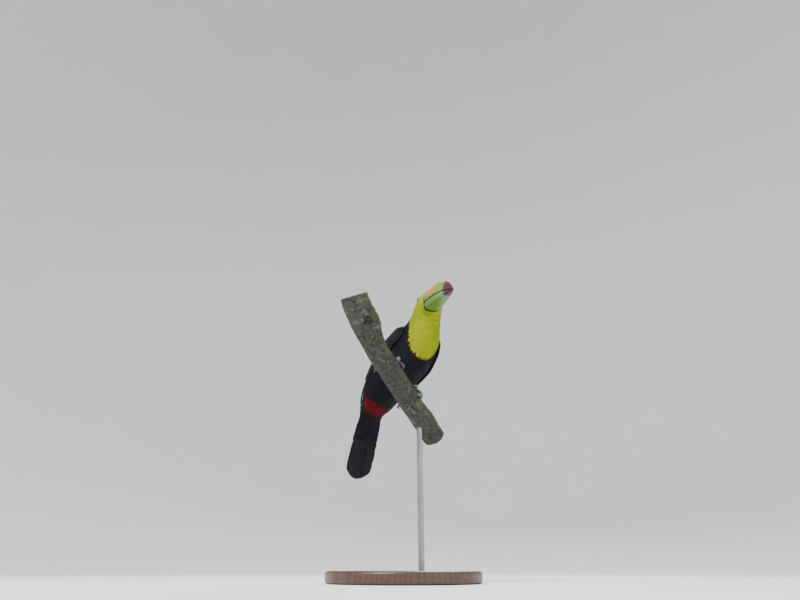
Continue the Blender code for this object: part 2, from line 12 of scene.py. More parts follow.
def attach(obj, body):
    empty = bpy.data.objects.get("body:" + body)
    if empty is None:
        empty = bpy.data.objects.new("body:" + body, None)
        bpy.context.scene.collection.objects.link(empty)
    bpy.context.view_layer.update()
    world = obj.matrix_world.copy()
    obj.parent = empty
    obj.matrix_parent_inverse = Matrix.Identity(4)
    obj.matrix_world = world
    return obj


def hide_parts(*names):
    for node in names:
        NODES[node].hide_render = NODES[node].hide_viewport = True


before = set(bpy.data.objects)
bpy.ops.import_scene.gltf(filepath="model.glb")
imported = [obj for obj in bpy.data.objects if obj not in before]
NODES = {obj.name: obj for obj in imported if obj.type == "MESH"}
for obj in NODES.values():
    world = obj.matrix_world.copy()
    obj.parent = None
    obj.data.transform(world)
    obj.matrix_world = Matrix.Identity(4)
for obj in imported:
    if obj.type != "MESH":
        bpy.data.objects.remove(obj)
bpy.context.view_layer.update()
MM = 0.001
RNG = np.random.default_rng(1358)

# ---------------------------------------------------------------- the named shape, as the solids have it

GRIP = np.array((-12, -43, 320)) * MM
BRANCH_DOWN = np.array((0.520, 0.541, -0.661))
BRANCH_DOWN /= np.linalg.norm(BRANCH_DOWN)
BRANCH_RADIUS = 19.8 * MM
BRANCH_SWELL = 3.6 * MM
BRANCH_BENDS = (0.75, 1.3)
BRANCH_FLARE = 0.22
KNOT_RUN, KNOT_ANGLE = -118 * MM, math.radians(20)
KNOT_LENGTH, KNOT_HEIGHT = 20 * MM, 7.5 * MM
KNOT_EYE = (-124 * MM, math.radians(330))
BRANCH_ABOVE, BRANCH_BELOW = 168 * MM, 132 * MM
GRIP_ZONE = 46 * MM
STANCE = np.array((16, 0, 7)) * MM
TURN = Matrix.Rotation(math.radians(28), 4, "Z") @ Matrix.Rotation(math.radians(16), 4, "Y")
POSE = Matrix.Translation(GRIP) @ TURN @ Matrix.Translation(STANCE)
ROT = np.array(POSE.to_3x3())
PLACE = np.array(POSE.translation)

# left, back, up of the centre, then half width, depth to the back and to the front, in millimetres
STATIONS = np.array(
    (
        (-2.5, 110, -38, 22, 13, 16),
        (-3, 98, -16, 31.5, 22, 26),
        (0, 84, 12, 37.5, 31, 34),
        (6.5, 68, 41, 43.5, 39, 40),
        (15.5, 50, 76, 46.5, 42, 43),
        (19.5, 32, 110, 40.5, 37, 39),
        (16, 17, 137, 30, 31, 32),
        (11, 7, 152.5, 27, 29, 27.5),
        (6, -5, 162.5, 25.5, 27.5, 26),
        (0.5, -20, 164, 22.5, 25, 24),
        (-4.5, -35.5, 159.5, 18.5, 22.5, 21.5),
    )
)
TAIL_TIP = np.array((18.9, 150.6, -152.4))
TAIL_HALF_WIDTH = 25
NECK, FACE, BILL_BASE = 6, 9, 10
EYE_STATION, EYE_ANGLE, HEAD_ROLL = FACE - 0.62, math.radians(108), math.radians(6)
EYE_RADIUS, EYE_SINK = 6.2 * MM, 3.6 * MM
# the same sections, carried on down the tail under its coverts
_tail_way = TAIL_TIP - STATIONS[0, :3]
SLEEVE = np.vstack(
    [
        np.r_[STATIONS[0, :3] + _tail_way * 0.52, 24.5, 3.2, 2.4],
        np.r_[STATIONS[0, :3] + _tail_way * 0.26, 23.5, 6.5, 6.5],
        STATIONS,
    ]
)


def spline(table, s):
    """Catmull-Rom through the rows of a table, with straight run-on past both ends."""
    s = np.asarray(s, float)
    last = len(table) - 1
    i = np.clip(np.floor(s).astype(int), 0, last - 1)
    t = (s - i)[..., None]
    b, c = table[i], table[i + 1]
    a = np.where((i > 0)[..., None], table[np.maximum(i - 1, 0)], 2 * b - c)
    d = np.where((i + 2 <= last)[..., None], table[np.minimum(i + 2, last)], 2 * c - b)
    inside = 0.5 * (2 * b + (c - a) * t + (2 * a - 5 * b + 4 * c - d) * t**2 + (3 * b - a - 3 * c + d) * t**3)
    return np.where((t < 0) | (t > 1), b + (c - b) * t, inside)


def unit(v):
    return v / np.maximum(np.linalg.norm(v, axis=-1, keepdims=True), 1e-12)


def section(table, s):
    """Centre and left, front and headward directions at station s, in millimetres in the bird's frame."""
    row = spline(table, s)
    along = unit(spline(table, s + 0.02)[..., :3] - spline(table, s - 0.02)[..., :3])
    left = np.array((1.0, 0, 0))
    left = unit(left - along * along[..., :1])
    return row, left, np.cross(left, along), along


def to_world(points):
    """Bird's frame in millimetres to the row's frame in metres."""
    return points * MM @ ROT.T + PLACE


def body(s, angle, lift=0.0, table=SLEEVE, shift=2):
    """The body's surface: station s (0 tail root, 10 bill base), angle from the throat round by the left."""
    row, left, front, _ = section(table, np.asarray(s, float) + shift)
    angle, lift = np.asarray(angle, float), np.asarray(lift, float)
    depth = np.where(np.cos(angle) > 0, row[..., 5], row[..., 4])
    out = (
        row[..., :3]
        + left * ((row[..., 3] + lift) * np.sin(angle))[..., None]
        + front * ((depth + lift) * np.cos(angle))[..., None]
    )
    return to_world(out)


WING_BED = np.array(
    (
        (-1.1, 22, 15),
        (-0.5, 26, 18),
        (0.0, 29, 20),
        (1.0, 35, 26),
        (2.0, 40, 33),
        (3.0, 44.3, 39.8),
        (4.0, 47.3, 42.8),
        (5.0, 41.6, 37.9),
        (6.0, 33, 32.5),
    )
)
WING_FROM, WING_TO = 5.5, -0.95


def smooth(t):
    t = np.clip(t, 0, 1)
    return t * t * (3 - 2 * t)


def mix(a, b, t):
    return a + (b - a) * t


def wing_lift(t, v):
    """Thickness of the folded wing over its bed, in millimetres."""
    over = np.sin(np.pi * np.clip(v, 0, 1)) ** 0.55
    arm = mix(1.0, 0.42, smooth((t - 0.15) / 0.75)) * np.minimum(1.0, np.sqrt(np.clip(t, 0, 1) / 0.1 + 0.04))
    coverts = 0.9 * (1 - smooth((t - (0.46 + 0.1 * v)) / 0.05))
    return 0.9 + (6.5 * arm + coverts) * over


# ---------------------------------------------------------------- meshes


def mesh_object(name, points, faces, smooth_shade=True):
    mesh = bpy.data.meshes.new(name)
    mesh.from_pydata([tuple(p) for p in points], [], faces)
    if smooth_shade:
        mesh.shade_smooth()
    obj = bpy.data.objects.new(name, mesh)
    bpy.context.scene.collection.objects.link(obj)
    return obj


def array_object(name, points, quads, tris):
    """A mesh object straight from arrays of points, quads and triangles."""
    mesh = bpy.data.meshes.new(name)
    loops = np.concatenate([quads.ravel(), tris.ravel()]).astype(np.int32)
    starts = np.concatenate([np.arange(len(quads)) * 4, len(quads) * 4 + np.arange(len(tris)) * 3]).astype(np.int32)
    mesh.vertices.add(len(points))
    mesh.vertices.foreach_set("co", points.astype(np.float32).ravel())
    mesh.loops.add(len(loops))
    mesh.loops.foreach_set("vertex_index", loops)
    mesh.polygons.add(len(starts))
    mesh.polygons.foreach_set("loop_start", starts)
    mesh.update(calc_edges=True)
    mesh.shade_smooth()
    obj = bpy.data.objects.new(name, mesh)
    bpy.context.scene.collection.objects.link(obj)
    return obj


def attribute(obj, name, values):
    data = obj.data.attributes.new(name, "FLOAT", "POINT")
    data.data.foreach_set("value", np.asarray(values, np.float32).ravel())


def finish_piece(obj, mat, slot, *replaced):
    obj.data.materials.clear()
    obj.data.materials.append(mat)
    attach(obj, "root")
    if replaced:
        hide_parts(*replaced)
    return obj


def metric(surface, a, b):
    """Metres for one step of each surface coordinate."""
    e = 0.02
    ma = np.linalg.norm(surface(a + e, b, 0) - surface(a - e, b, 0), axis=-1) / (2 * e)
    mb = np.linalg.norm(surface(a, b + e, 0) - surface(a, b - e, 0), axis=-1) / (2 * e)
    return np.maximum(ma, 1e-4), np.maximum(mb, 1e-4)


VANE_ROWS = np.array((0.0, 0.16, 0.36, 0.58, 0.78, 0.92))
VANE_WIDTH = np.array((0.50, 0.90, 1.0, 0.88, 0.60, 0.30))


def small_vanes(name, surface, a, b, length, width, sink, rise, yaw, uv, camber=0.12, thick=0.11, flow=-1.0):
    """Closed lens-shaped vanes that follow a surface from their roots. Lengths in metres, sink and rise in mm."""
    count = len(a)
    ma, mb = metric(surface, a, b)
    rows = len(VANE_ROWS)
    u = np.append(VANE_ROWS, 1.0)[None, :, None]
    half = np.append(VANE_WIDTH, 0.0)[None, :, None] * width[:, None, None] / 2
    half = half * (1 + RNG.uniform(-0.20, 0.14, (count, rows + 1, 4)))
    v = np.array((-1.0, 0.0, 1.0, 0.0))[None, None, :]
    x = u * length[:, None, None] * (1 - 0.05 * v**2)
    bend = RNG.normal(0, 0.35, (count, 1, 1)) * width[:, None, None]
    y = v * half + bend * u**2
    cos, sin = np.cos(yaw)[:, None, None], np.sin(yaw)[:, None, None]
    aa = a[:, None, None] + flow * (x * cos - y * sin) / ma[:, None, None]
    bb = b[:, None, None] + (x * sin + y * cos) / mb[:, None, None]
    roll = RNG.normal(0, 0.10, (count, 1, 1)) * v * half / MM
    height = mix(-sink[:, None, None], rise[:, None, None], u**0.75) - camber * v**2 * half / MM + roll
    height = height + np.array((0.0, thick / 2, 0.0, -thick / 2))[None, None, :]
    points = surface(aa, bb, height)
    tip = points[:, -1].mean(axis=1)
    body_points = points[:, :-1].reshape(count, rows * 4, 3)
    points = np.concatenate([body_points, tip[:, None]], axis=1)
    each = rows * 4 + 1
    quads, tris = [], []
    for r in range(rows - 1):
        for k in range(4):
            n = (k + 1) % 4
            quads.append((r * 4 + k, r * 4 + n, r * 4 + 4 + n, r * 4 + 4 + k))
    quads.append((3, 2, 1, 0))
    for k in range(4):
        tris.append(((rows - 1) * 4 + k, (rows - 1) * 4 + (k + 1) % 4, rows * 4))
    offset = (np.arange(count) * each)[:, None, None]
    quads = (np.array(quads)[None] + offset).reshape(-1, 4)
    tris = (np.array(tris)[None] + offset).reshape(-1, 3)
    obj = array_object(name, points.reshape(-1, 3), quads, tris)
    uu = np.concatenate([np.repeat(VANE_ROWS, 4), [1.0]])
    vv = np.concatenate([np.tile((-1.0, 0.0, 1.0, 0.0), rows), [0.0]]) * np.append(np.repeat(VANE_WIDTH, 4), 0)
    put_uv(obj, uv, uu, vv, each, quads, tris)
    attribute(obj, "along", np.tile(uu, count))
    attribute(obj, "across", np.tile(vv, count))
    attribute(obj, "tone", np.repeat(RNG.random(count), each))
    return obj


def put_uv(obj, uv, uu, vv, each, quads, tris):
    """A patch 0.003 across for every vane, at its root's place on the unwrap."""
    layer = obj.data.uv_layers.new(name="OFBake")
    index = np.concatenate([quads.ravel(), tris.ravel()])
    who, what = index // each, index % each
    patch = 0.003
    out = uv[who] + np.stack([vv[what] * patch / 2, (uu[what] - 0.5) * patch], axis=1)
    layer.data.foreach_set("uv", out.astype(np.float32).ravel())


def big_vane(surface, line, widths, lift, rows=20, columns=9, thick=0.34, shaft=0.45, camber=0.75, splits=3):
    """One flight feather on a surface. line gives (a, b) along its shaft for u in 0..1, widths the half widths in
    metres of its two sides, lift its height over the surface in millimetres for (u, v)."""
    u = np.linspace(0, 1, rows)
    v = np.linspace(-1, 1, columns)
    a0, b0 = line(u)
    ma, mb = metric(surface, a0, b0)
    da, db = np.gradient(a0) * ma, np.gradient(b0) * mb
    run = np.maximum(np.hypot(da, db), 1e-9)
    da, db = da / run, db / run
    shape = np.minimum(1, (u / 0.10 + 0.25) ** 0.5) * np.sqrt(np.clip(1 - np.clip((u - 0.80) / 0.20, 0, 1) ** 2.6, 0.0, 1))
    side = np.where(v[None, :] < 0, widths[0], widths[1]) * np.abs(v)[None, :] * np.maximum(shape, 0.05)[:, None]
    for _ in range(splits):
        row, edge = RNG.integers(int(rows * 0.4), rows - 2), RNG.integers(0, 2)
        side[row, 0 if edge else -1] *= 0.80
    signed = side * np.sign(v)[None, :]
    sweep = -0.28 * side  # the barbs point to the tip, so the vane's edge would run ahead of its shaft; the sweep is multiplied by 0 below and the edge stays beside the shaft
    aa = a0[:, None] + (signed * -db[:, None] - sweep * 0 * da[:, None]) / ma[:, None]
    bb = b0[:, None] + (signed * da[:, None]) / mb[:, None]
    ridge = shaft * np.exp(-((v / 0.12) ** 2))[None, :] * (1 - 0.75 * u)[:, None]
    height = lift(u[:, None], v[None, :]) - camber * (v**2)[None, :] * shape[:, None]
    top = surface(aa, bb, height + thick / 2 + ridge)
    bottom = surface(aa, bb, height - thick / 2 - ridge * 0.5)
    return top, bottom, u, v


def join_vanes(name, vanes, uv):
    """Joins equal-sized plates into one closed-piece mesh."""
    rows, columns = len(vanes[0][2]), len(vanes[0][3])
    half = rows * columns
    grid = np.arange(half).reshape(rows, columns)
    face = np.stack([grid[:-1, :-1], grid[1:, :-1], grid[1:, 1:], grid[:-1, 1:]], -1).reshape(-1, 4)
    rim = np.concatenate([grid[:, 0], grid[-1, 1:], grid[-2::-1, -1], grid[0, -2:0:-1]])
    nxt = np.roll(rim, -1)
    side = np.stack([rim, nxt, nxt + half, rim + half], -1)
    quads = np.concatenate([face[:, ::-1], face + half, side])
    each = half * 2
    count = len(vanes)
    points = np.concatenate([np.concatenate([v[0].reshape(-1, 3), v[1].reshape(-1, 3)]) for v in vanes])
    quads = (quads[None] + (np.arange(count) * each)[:, None, None]).reshape(-1, 4)
    obj = array_object(name, points, quads, np.zeros((0, 3), int))
    uu = np.tile(np.repeat(vanes[0][2], columns), 2)
    vv = np.tile(np.tile(vanes[0][3], rows), 2)
    put_uv(obj, uv, uu, vv, each, quads, np.zeros((0, 3), int))
    attribute(obj, "along", np.tile(uu, count))
    attribute(obj, "across", np.tile(vv, count))
    attribute(obj, "tone", np.repeat(RNG.random(count), each))
    return obj


# ---------------------------------------------------------------- materials


def shader(name, **constants):
    mat = bpy.data.materials.new(name)
    mat.use_nodes = True
    bsdf = mat.node_tree.nodes["Principled BSDF"]
    for key, value in constants.items():
        bsdf.inputs[key.replace("_", " ")].default_value = value
    return mat, mat.node_tree, bsdf


def add(tree, kind, settings=(), **inputs):
    node = tree.nodes.new("ShaderNode" + kind)
    for key, value in dict(settings).items():
        setattr(node, key, value)
    for key, value in inputs.items():
        socket = node.inputs[int(key[1:])] if key[0] == "i" and key[1:].isdigit() else node.inputs[key]
        if isinstance(value, bpy.types.NodeSocket):
            tree.links.new(value, socket)
        else:
            socket.default_value = value
    return node


def attr(tree, name):
    return add(tree, "Attribute", {"attribute_name": name}).outputs["Fac"]


def place(tree):
    return add(tree, "TexCoord").outputs["Object"]


def noise(tree, scale, detail=4.0, roughness=0.55, vector=None, stretch=None):
    vector = vector or place(tree)
    if stretch:
        vector = add(tree, "Mapping", i0=vector, Scale=stretch).outputs[0]
    return add(tree, "TexNoise", i0=vector, Scale=scale, Detail=detail, Roughness=roughness).outputs["Fac"]


def calc(tree, operation, a, b=0.0, c=0.0):
    return add(tree, "Math", {"operation": operation}, i0=a, i1=b, i2=c).outputs[0]


def span(tree, value, low, high, to_low=0.0, to_high=1.0):
    node = add(tree, "MapRange", {"interpolation_type": "SMOOTHSTEP"}, i0=value, i1=low, i2=high, i3=to_low, i4=to_high)
    return node.outputs[0]


def blendc(tree, fac, a, b, mode="MIX"):
    a = a if isinstance(a, bpy.types.NodeSocket) else (*a, 1)
    b = b if isinstance(b, bpy.types.NodeSocket) else (*b, 1)
    return add(tree, "Mix", {"data_type": "RGBA", "blend_type": mode}, i0=fac, i6=a, i7=b).outputs[2]


def ramp(tree, fac, *stops):
    node = add(tree, "ValToRGB", Fac=fac)
    points = node.color_ramp.elements
    while len(points) < len(stops):
        points.new(0.5)
    for point, (position, colour) in zip(points, stops):
        point.position = position
        point.color = (*colour, 1)
    return node.outputs[0]


def bump(tree, bsdf, *layers):
    """Adds layers of (height, strength, distance in metres) to the shader's normal."""
    normal = None
    for height, strength, distance in layers:
        node = add(tree, "Bump", Height=height, Strength=strength, Distance=distance)
        if normal:
            tree.links.new(normal, node.inputs["Normal"])
        normal = node.outputs[0]
    tree.links.new(normal, bsdf.inputs["Normal"])


def paint(tree, bsdf, colour, roughness=None):
    tree.links.new(colour, bsdf.inputs["Base Color"])
    if roughness:
        tree.links.new(roughness, bsdf.inputs["Roughness"])


def feather_material(name, dark, light, gloss=0.5, sheen=0.05, barbs=46, edge=0.25, shine=0.22):
    mat, tree, bsdf = shader(name, Specular_IOR_Level=shine, Sheen_Weight=sheen, Sheen_Roughness=0.4)
    across, along = attr(tree, "across"), attr(tree, "along")
    side = calc(tree, "ABSOLUTE", across)
    ray = calc(tree, "MULTIPLY_ADD", side, -0.34, along)
    wobble = calc(tree, "MULTIPLY_ADD", noise(tree, 900, 2), 0.05, ray)
    comb = calc(tree, "SINE", calc(tree, "MULTIPLY", wobble, barbs * 3.0))
    quill = span(tree, side, 0.0, 0.09, 1.0, 0.0)
    tone = calc(tree, "MULTIPLY_ADD", attr(tree, "tone"), 0.5, calc(tree, "MULTIPLY", noise(tree, 55, 3), 0.5))
    colour = blendc(tree, tone, dark, light)
    colour = blendc(tree, span(tree, comb, -1, 1, 0.0, 0.22), colour, tuple(c * 0.45 for c in dark))
    colour = blendc(tree, calc(tree, "MULTIPLY", quill, 0.35), colour, tuple(c * 0.5 for c in dark))
    # Lighter vane margins and tips are a painted highlight, standing in for the gloss that shows the feather edges;
    # edge sets its strength.
    rim = calc(tree, "MAXIMUM", span(tree, side, 0.82, 1.0), span(tree, along, 0.93, 1.0))
    colour = blendc(tree, calc(tree, "MULTIPLY", rim, edge), colour, tuple(min(1.0, c * 1.8 + 0.004) for c in light))
    rough = span(tree, noise(tree, 240, 3), 0.2, 0.8, gloss - 0.07, gloss + 0.12)
    paint(tree, bsdf, colour, rough)
    bump(tree, bsdf, (comb, 0.30, 0.00025), (quill, 0.4, 0.0003))
    return mat


def skin_material():
    """Feathered regions carry the coat's own colours; the face is bare, waxy and lime green."""
    mat, tree, bsdf = shader("skin", Specular_IOR_Level=0.45, Subsurface_Weight=0.06, Subsurface_Scale=0.004)
    fine, broad = noise(tree, 1400, 5), noise(tree, 160, 4)
    colour = blendc(tree, span(tree, broad, 0.3, 0.7), (0.004, 0.004, 0.006), (0.009, 0.009, 0.012))
    colour = blendc(tree, attr(tree, "yellow"), colour, blendc(tree, broad, (0.31, 0.36, 0.003), (0.46, 0.52, 0.010)))
    # The skin under the red coat takes the same crimson, darkened as painted shade.
    colour = blendc(tree, attr(tree, "red"), colour, (0.14, 0.002, 0.007))
    colour = blendc(tree, attr(tree, "white"), colour, (0.72, 0.70, 0.60))
    bare = attr(tree, "bare")
    lime = blendc(tree, span(tree, broad, 0.3, 0.75), (0.12, 0.25, 0.030), (0.23, 0.38, 0.055))
    lime = blendc(tree, attr(tree, "rim"), lime, (0.20, 0.38, 0.14))
    crease = add(tree, "TexVoronoi", {"feature": "DISTANCE_TO_EDGE"}, i0=place(tree), Scale=1050.0).outputs[0]
    line = span(tree, crease, 0.0, 0.09, 1.0, 0.0)
    lime = blendc(tree, calc(tree, "MULTIPLY", line, 0.35), lime, (0.11, 0.17, 0.03))
    # Painted shade in the troughs between the skin folds round the eye.
    lime = blendc(tree, calc(tree, "MULTIPLY", attr(tree, "fold_shade"), 0.5), lime, (0.09, 0.15, 0.04))
    colour = blendc(tree, bare, colour, lime)
    paint(tree, bsdf, colour, span(tree, fine, 0.25, 0.75, 0.42, 0.62))
    bump(tree, bsdf, (fine, 0.25, 0.0002), (span(tree, crease, 0.0, 0.12), 0.35, 0.0002))
    return mat


def bill_material(lower):
    """Keel-billed colours by place: along the bill from its base, and height from its cutting edge."""
    name = "bill_lower" if lower else "bill_upper"
    mat, tree, bsdf = shader(name, Specular_IOR_Level=0.3, Coat_Weight=0.05, Coat_Roughness=0.3)
    along, high = attr(tree, "along"), attr(tree, "high")
    cloud, mottle = noise(tree, 75, 5, 0.6), noise(tree, 260, 5, 0.6)
    drift = calc(tree, "MULTIPLY_ADD", calc(tree, "SUBTRACT", cloud, 0.5), 0.12, along)
    up = calc(tree, "MULTIPLY_ADD", calc(tree, "SUBTRACT", cloud, 0.5), 0.22, high)
    run = add(tree, "CombineXYZ", i0=calc(tree, "MULTIPLY", along, 2.2), i1=calc(tree, "MULTIPLY", high, 34.0)).outputs[0]
    streak = noise(tree, 1.0, 5, 0.6, vector=run)
    if lower:
        colour = ramp(
            tree,
            drift,
            (0.0, (0.085, 0.175, 0.015)),
            (0.36, (0.080, 0.200, 0.018)),
            (0.56, (0.085, 0.200, 0.040)),
            (0.68, (0.120, 0.220, 0.150)),
            (0.78, (0.150, 0.215, 0.215)),
        )
        colour = blendc(tree, span(tree, up, 0.0, 0.22, 0.5, 0.0), colour, (0.17, 0.22, 0.015))
    else:
        side = ramp(tree, drift, (0.0, (0.13, 0.21, 0.012)), (0.4, (0.13, 0.25, 0.012)), (0.78, (0.16, 0.22, 0.02)))
        ridge = ramp(tree, drift, (0.0, (0.30, 0.34, 0.008)), (0.55, (0.28, 0.36, 0.012)), (0.8, (0.24, 0.24, 0.02)))
        colour = blendc(tree, span(tree, up, 0.70, 0.92), side, ridge)
        ahead = calc(tree, "DIVIDE", calc(tree, "SUBTRACT", drift, 0.25), 0.34)
        above = calc(tree, "DIVIDE", calc(tree, "SUBTRACT", up, 0.50), 0.34)
        blaze = calc(tree, "ADD", calc(tree, "MULTIPLY", ahead, ahead), calc(tree, "MULTIPLY", above, above))
        blaze = calc(tree, "MULTIPLY_ADD", calc(tree, "SUBTRACT", streak, 0.5), 1.1, blaze)
        colour = blendc(tree, span(tree, blaze, 0.30, 1.10, 0.90, 0.0), colour, (0.44, 0.150, 0.018))
        colour = blendc(tree, span(tree, up, 0.02, 0.2, 0.6, 0.0), colour, (0.20, 0.23, 0.025))
    colour = blendc(tree, span(tree, streak, 0.46, 0.72, 0.0, 0.30), colour, (0.060, 0.100, 0.010))
    colour = blendc(tree, span(tree, streak, 0.50, 0.28, 0.0, 0.20), colour, (0.42, 0.42, 0.12))
    ragged = calc(tree, "MULTIPLY_ADD", calc(tree, "SUBTRACT", streak, 0.5), 0.07, drift)
    maroon = blendc(tree, mottle, (0.030, 0.006, 0.014), (0.066, 0.011, 0.024))
    colour = blendc(tree, span(tree, ragged, 0.70, 0.79), colour, maroon)
    # short dark marks stand on the cutting edges
    marks_at = noise(tree, 1.0, 2, 0.5, vector=add(tree, "CombineXYZ", i0=calc(tree, "MULTIPLY", along, 62.0)).outputs[0])
    reach = calc(tree, "MULTIPLY", span(tree, marks_at, 0.50, 0.66), 0.16)
    teeth = span(tree, calc(tree, "SUBTRACT", reach, high), 0.0, 0.05, 0.0, 0.75)
    colour = blendc(tree, teeth, colour, (0.055, 0.055, 0.025))
    # The black band at the bill's base is the bird's own; on the lower jaw it is drawn wider, partly as painted shadow
    # under the chin.
    edge = calc(tree, "MULTIPLY_ADD", calc(tree, "SUBTRACT", mottle, 0.5), 0.010, along)
    front = 0.034 if lower else 0.026
    colour = blendc(tree, span(tree, edge, front, front + 0.008, 1.0, 0.0), colour, (0.006, 0.006, 0.007))
    paint(tree, bsdf, colour, span(tree, mottle, 0.25, 0.8, 0.34, 0.50))
    bump(tree, bsdf, (streak, 0.45, 0.0004), (mottle, 0.12, 0.0004), (noise(tree, 1100, 4), 0.12, 0.0002))
    return mat


def foot_material():
    mat, tree, bsdf = shader("foot_skin", Specular_IOR_Level=0.45)
    fine, broad = noise(tree, 900, 4), noise(tree, 130, 3)
    colour = blendc(tree, span(tree, broad, 0.3, 0.7), (0.070, 0.120, 0.150), (0.145, 0.210, 0.235))
    colour = blendc(tree, calc(tree, "MULTIPLY", attr(tree, "seam"), 0.8), colour, (0.06, 0.10, 0.12))
    scale = add(tree, "TexVoronoi", {"feature": "DISTANCE_TO_EDGE"}, i0=place(tree), Scale=900.0).outputs[0]
    colour = blendc(tree, span(tree, scale, 0.0, 0.07, 0.4, 0.0), colour, (0.07, 0.12, 0.14))
    paint(tree, bsdf, colour, span(tree, fine, 0.3, 0.7, 0.38, 0.6))
    bump(tree, bsdf, (span(tree, scale, 0.0, 0.12), 0.4, 0.0002), (fine, 0.2, 0.0002))
    return mat


def horn_material():
    mat, tree, bsdf = shader("claw_horn", Specular_IOR_Level=0.5, Coat_Weight=0.2, Coat_Roughness=0.3)
    along = attr(tree, "along")
    grain = noise(tree, 500, 4, stretch=(1, 1, 0.25))
    colour = ramp(tree, along, (0.0, (0.075, 0.085, 0.085)), (0.25, (0.030, 0.032, 0.032)), (0.85, (0.014, 0.013, 0.012)), (1.0, (0.05, 0.04, 0.03)))
    colour = blendc(tree, span(tree, grain, 0.4, 0.8, 0.0, 0.4), colour, (0.09, 0.08, 0.07))
    paint(tree, bsdf, colour, span(tree, grain, 0.3, 0.8, 0.28, 0.5))
    bump(tree, bsdf, (grain, 0.3, 0.0002))
    return mat


def eye_material():
    mat, tree, bsdf = shader("eye", Specular_IOR_Level=0.35, Coat_Weight=0.45, Coat_Roughness=0.03)
    out = attr(tree, "along")
    rays = noise(tree, 30, 5, vector=add(tree, "CombineXYZ", i0=calc(tree, "MULTIPLY", attr(tree, "across"), 1.4), i1=calc(tree, "MULTIPLY", out, 0.5)).outputs[0])
    iris = blendc(tree, span(tree, rays, 0.35, 0.7), (0.018, 0.010, 0.003), (0.060, 0.036, 0.008))
    colour = blendc(tree, span(tree, out, 0.46, 0.52), (0.001, 0.001, 0.001), iris)
    colour = blendc(tree, span(tree, out, 0.70, 0.80), colour, (0.010, 0.008, 0.006))
    paint(tree, bsdf, colour, span(tree, rays, 0.3, 0.7, 0.10, 0.22))
    bump(tree, bsdf, (rays, 0.06, 0.0002))
    return mat


def bark_material():
    mat, tree, bsdf = shader("bark", Specular_IOR_Level=0.25)
    crevice_shade, lichen, moss = attr(tree, "crevice_shade"), attr(tree, "lichen"), attr(tree, "moss")
    fine, mid, broad = noise(tree, 900, 5, 0.65), noise(tree, 210, 5, 0.6), noise(tree, 34, 4)
    colour = blendc(tree, span(tree, mid, 0.3, 0.72), (0.026, 0.025, 0.022), (0.078, 0.076, 0.068))
    colour = blendc(tree, span(tree, broad, 0.35, 0.68, 0.0, 0.55), colour, (0.046, 0.056, 0.042))
    colour = blendc(tree, span(tree, fine, 0.55, 0.78, 0.0, 0.5), colour, (0.130, 0.128, 0.115))
    # Painted shade: darker in the fissures, the cross cracks and the knot's hollow.
    colour = blendc(tree, span(tree, crevice_shade, 0.15, 0.9, 0.0, 0.9), colour, (0.022, 0.017, 0.012))
    colour = blendc(tree, calc(tree, "MULTIPLY", lichen, 0.5), colour, blendc(tree, mid, (0.085, 0.105, 0.088), (0.165, 0.190, 0.160)))
    colour = blendc(tree, calc(tree, "MULTIPLY", moss, 0.7), colour, blendc(tree, mid, (0.045, 0.066, 0.018), (0.09, 0.125, 0.040)))
    cut = attr(tree, "cut")
    ring = add(tree, "TexWave", {"wave_type": "RINGS", "rings_direction": "Z"}, i0=add(tree, "CombineXYZ", i0=attr(tree, "ring"), i1=0.0).outputs[0], Scale=11.0, Distortion=0.0).outputs["Fac"]
    wood = blendc(tree, span(tree, ring, 0.2, 0.9), (0.30, 0.225, 0.145), (0.17, 0.12, 0.075))
    wood = blendc(tree, span(tree, mid, 0.45, 0.8, 0.0, 0.5), wood, (0.20, 0.14, 0.085))
    colour = blendc(tree, cut, colour, wood)
    paint(tree, bsdf, colour, span(tree, fine, 0.3, 0.8, 0.72, 0.95))
    bump(tree, bsdf, (mid, 0.5, 0.0012), (fine, 0.6, 0.0005))
    return mat


def moss_material():
    mat, tree, bsdf = shader("moss", Specular_IOR_Level=0.25)
    tone = calc(tree, "MULTIPLY_ADD", attr(tree, "tone"), 0.6, calc(tree, "MULTIPLY", noise(tree, 160, 3), 0.4))
    colour = ramp(tree, tone, (0.1, (0.035, 0.050, 0.010)), (0.5, (0.10, 0.13, 0.022)), (0.9, (0.21, 0.23, 0.06)))
    paint(tree, bsdf, colour, span(tree, noise(tree, 500, 3), 0.3, 0.7, 0.7, 0.95))
    bump(tree, bsdf, (noise(tree, 1500, 3), 0.3, 0.0002))
    return mat


def wood_material():
    """Flat-sawn hardwood: the arcs of wide year rings whose heart lies beside the disc, with fine pores along them."""
    mat, tree, bsdf = shader("stand_wood", Specular_IOR_Level=0.4, Coat_Weight=0.2, Coat_Roughness=0.3)
    warp = noise(tree, 9, 4, 0.5, stretch=(1, 0.35, 1))
    sway = calc(tree, "MULTIPLY", calc(tree, "SUBTRACT", warp, 0.5), 0.05)
    offset = add(tree, "CombineXYZ", i0=calc(tree, "ADD", sway, 0.10), i1=0.0, i2=0.0).outputs[0]
    shifted = add(tree, "VectorMath", {"operation": "MULTIPLY_ADD"}, i0=place(tree), i1=(1.0, 0.22, 1.0), i2=offset).outputs[0]
    ring = add(tree, "TexWave", {"wave_type": "RINGS", "rings_direction": "Z", "wave_profile": "SAW"}, i0=shifted, Scale=36.0, Distortion=0.6, Detail=3.0, i4=2.0).outputs["Fac"]
    pore = noise(tree, 900, 4, 0.6, stretch=(1, 0.05, 1))
    colour = ramp(tree, ring, (0.0, (0.088, 0.046, 0.024)), (0.7, (0.070, 0.035, 0.018)), (1.0, (0.046, 0.022, 0.012)))
    colour = blendc(tree, span(tree, pore, 0.50, 0.68, 0.0, 0.6), colour, (0.028, 0.014, 0.008))
    paint(tree, bsdf, colour, span(tree, pore, 0.3, 0.7, 0.34, 0.50))
    bump(tree, bsdf, (pore, 0.25, 0.0003), (ring, 0.08, 0.0004))
    return mat


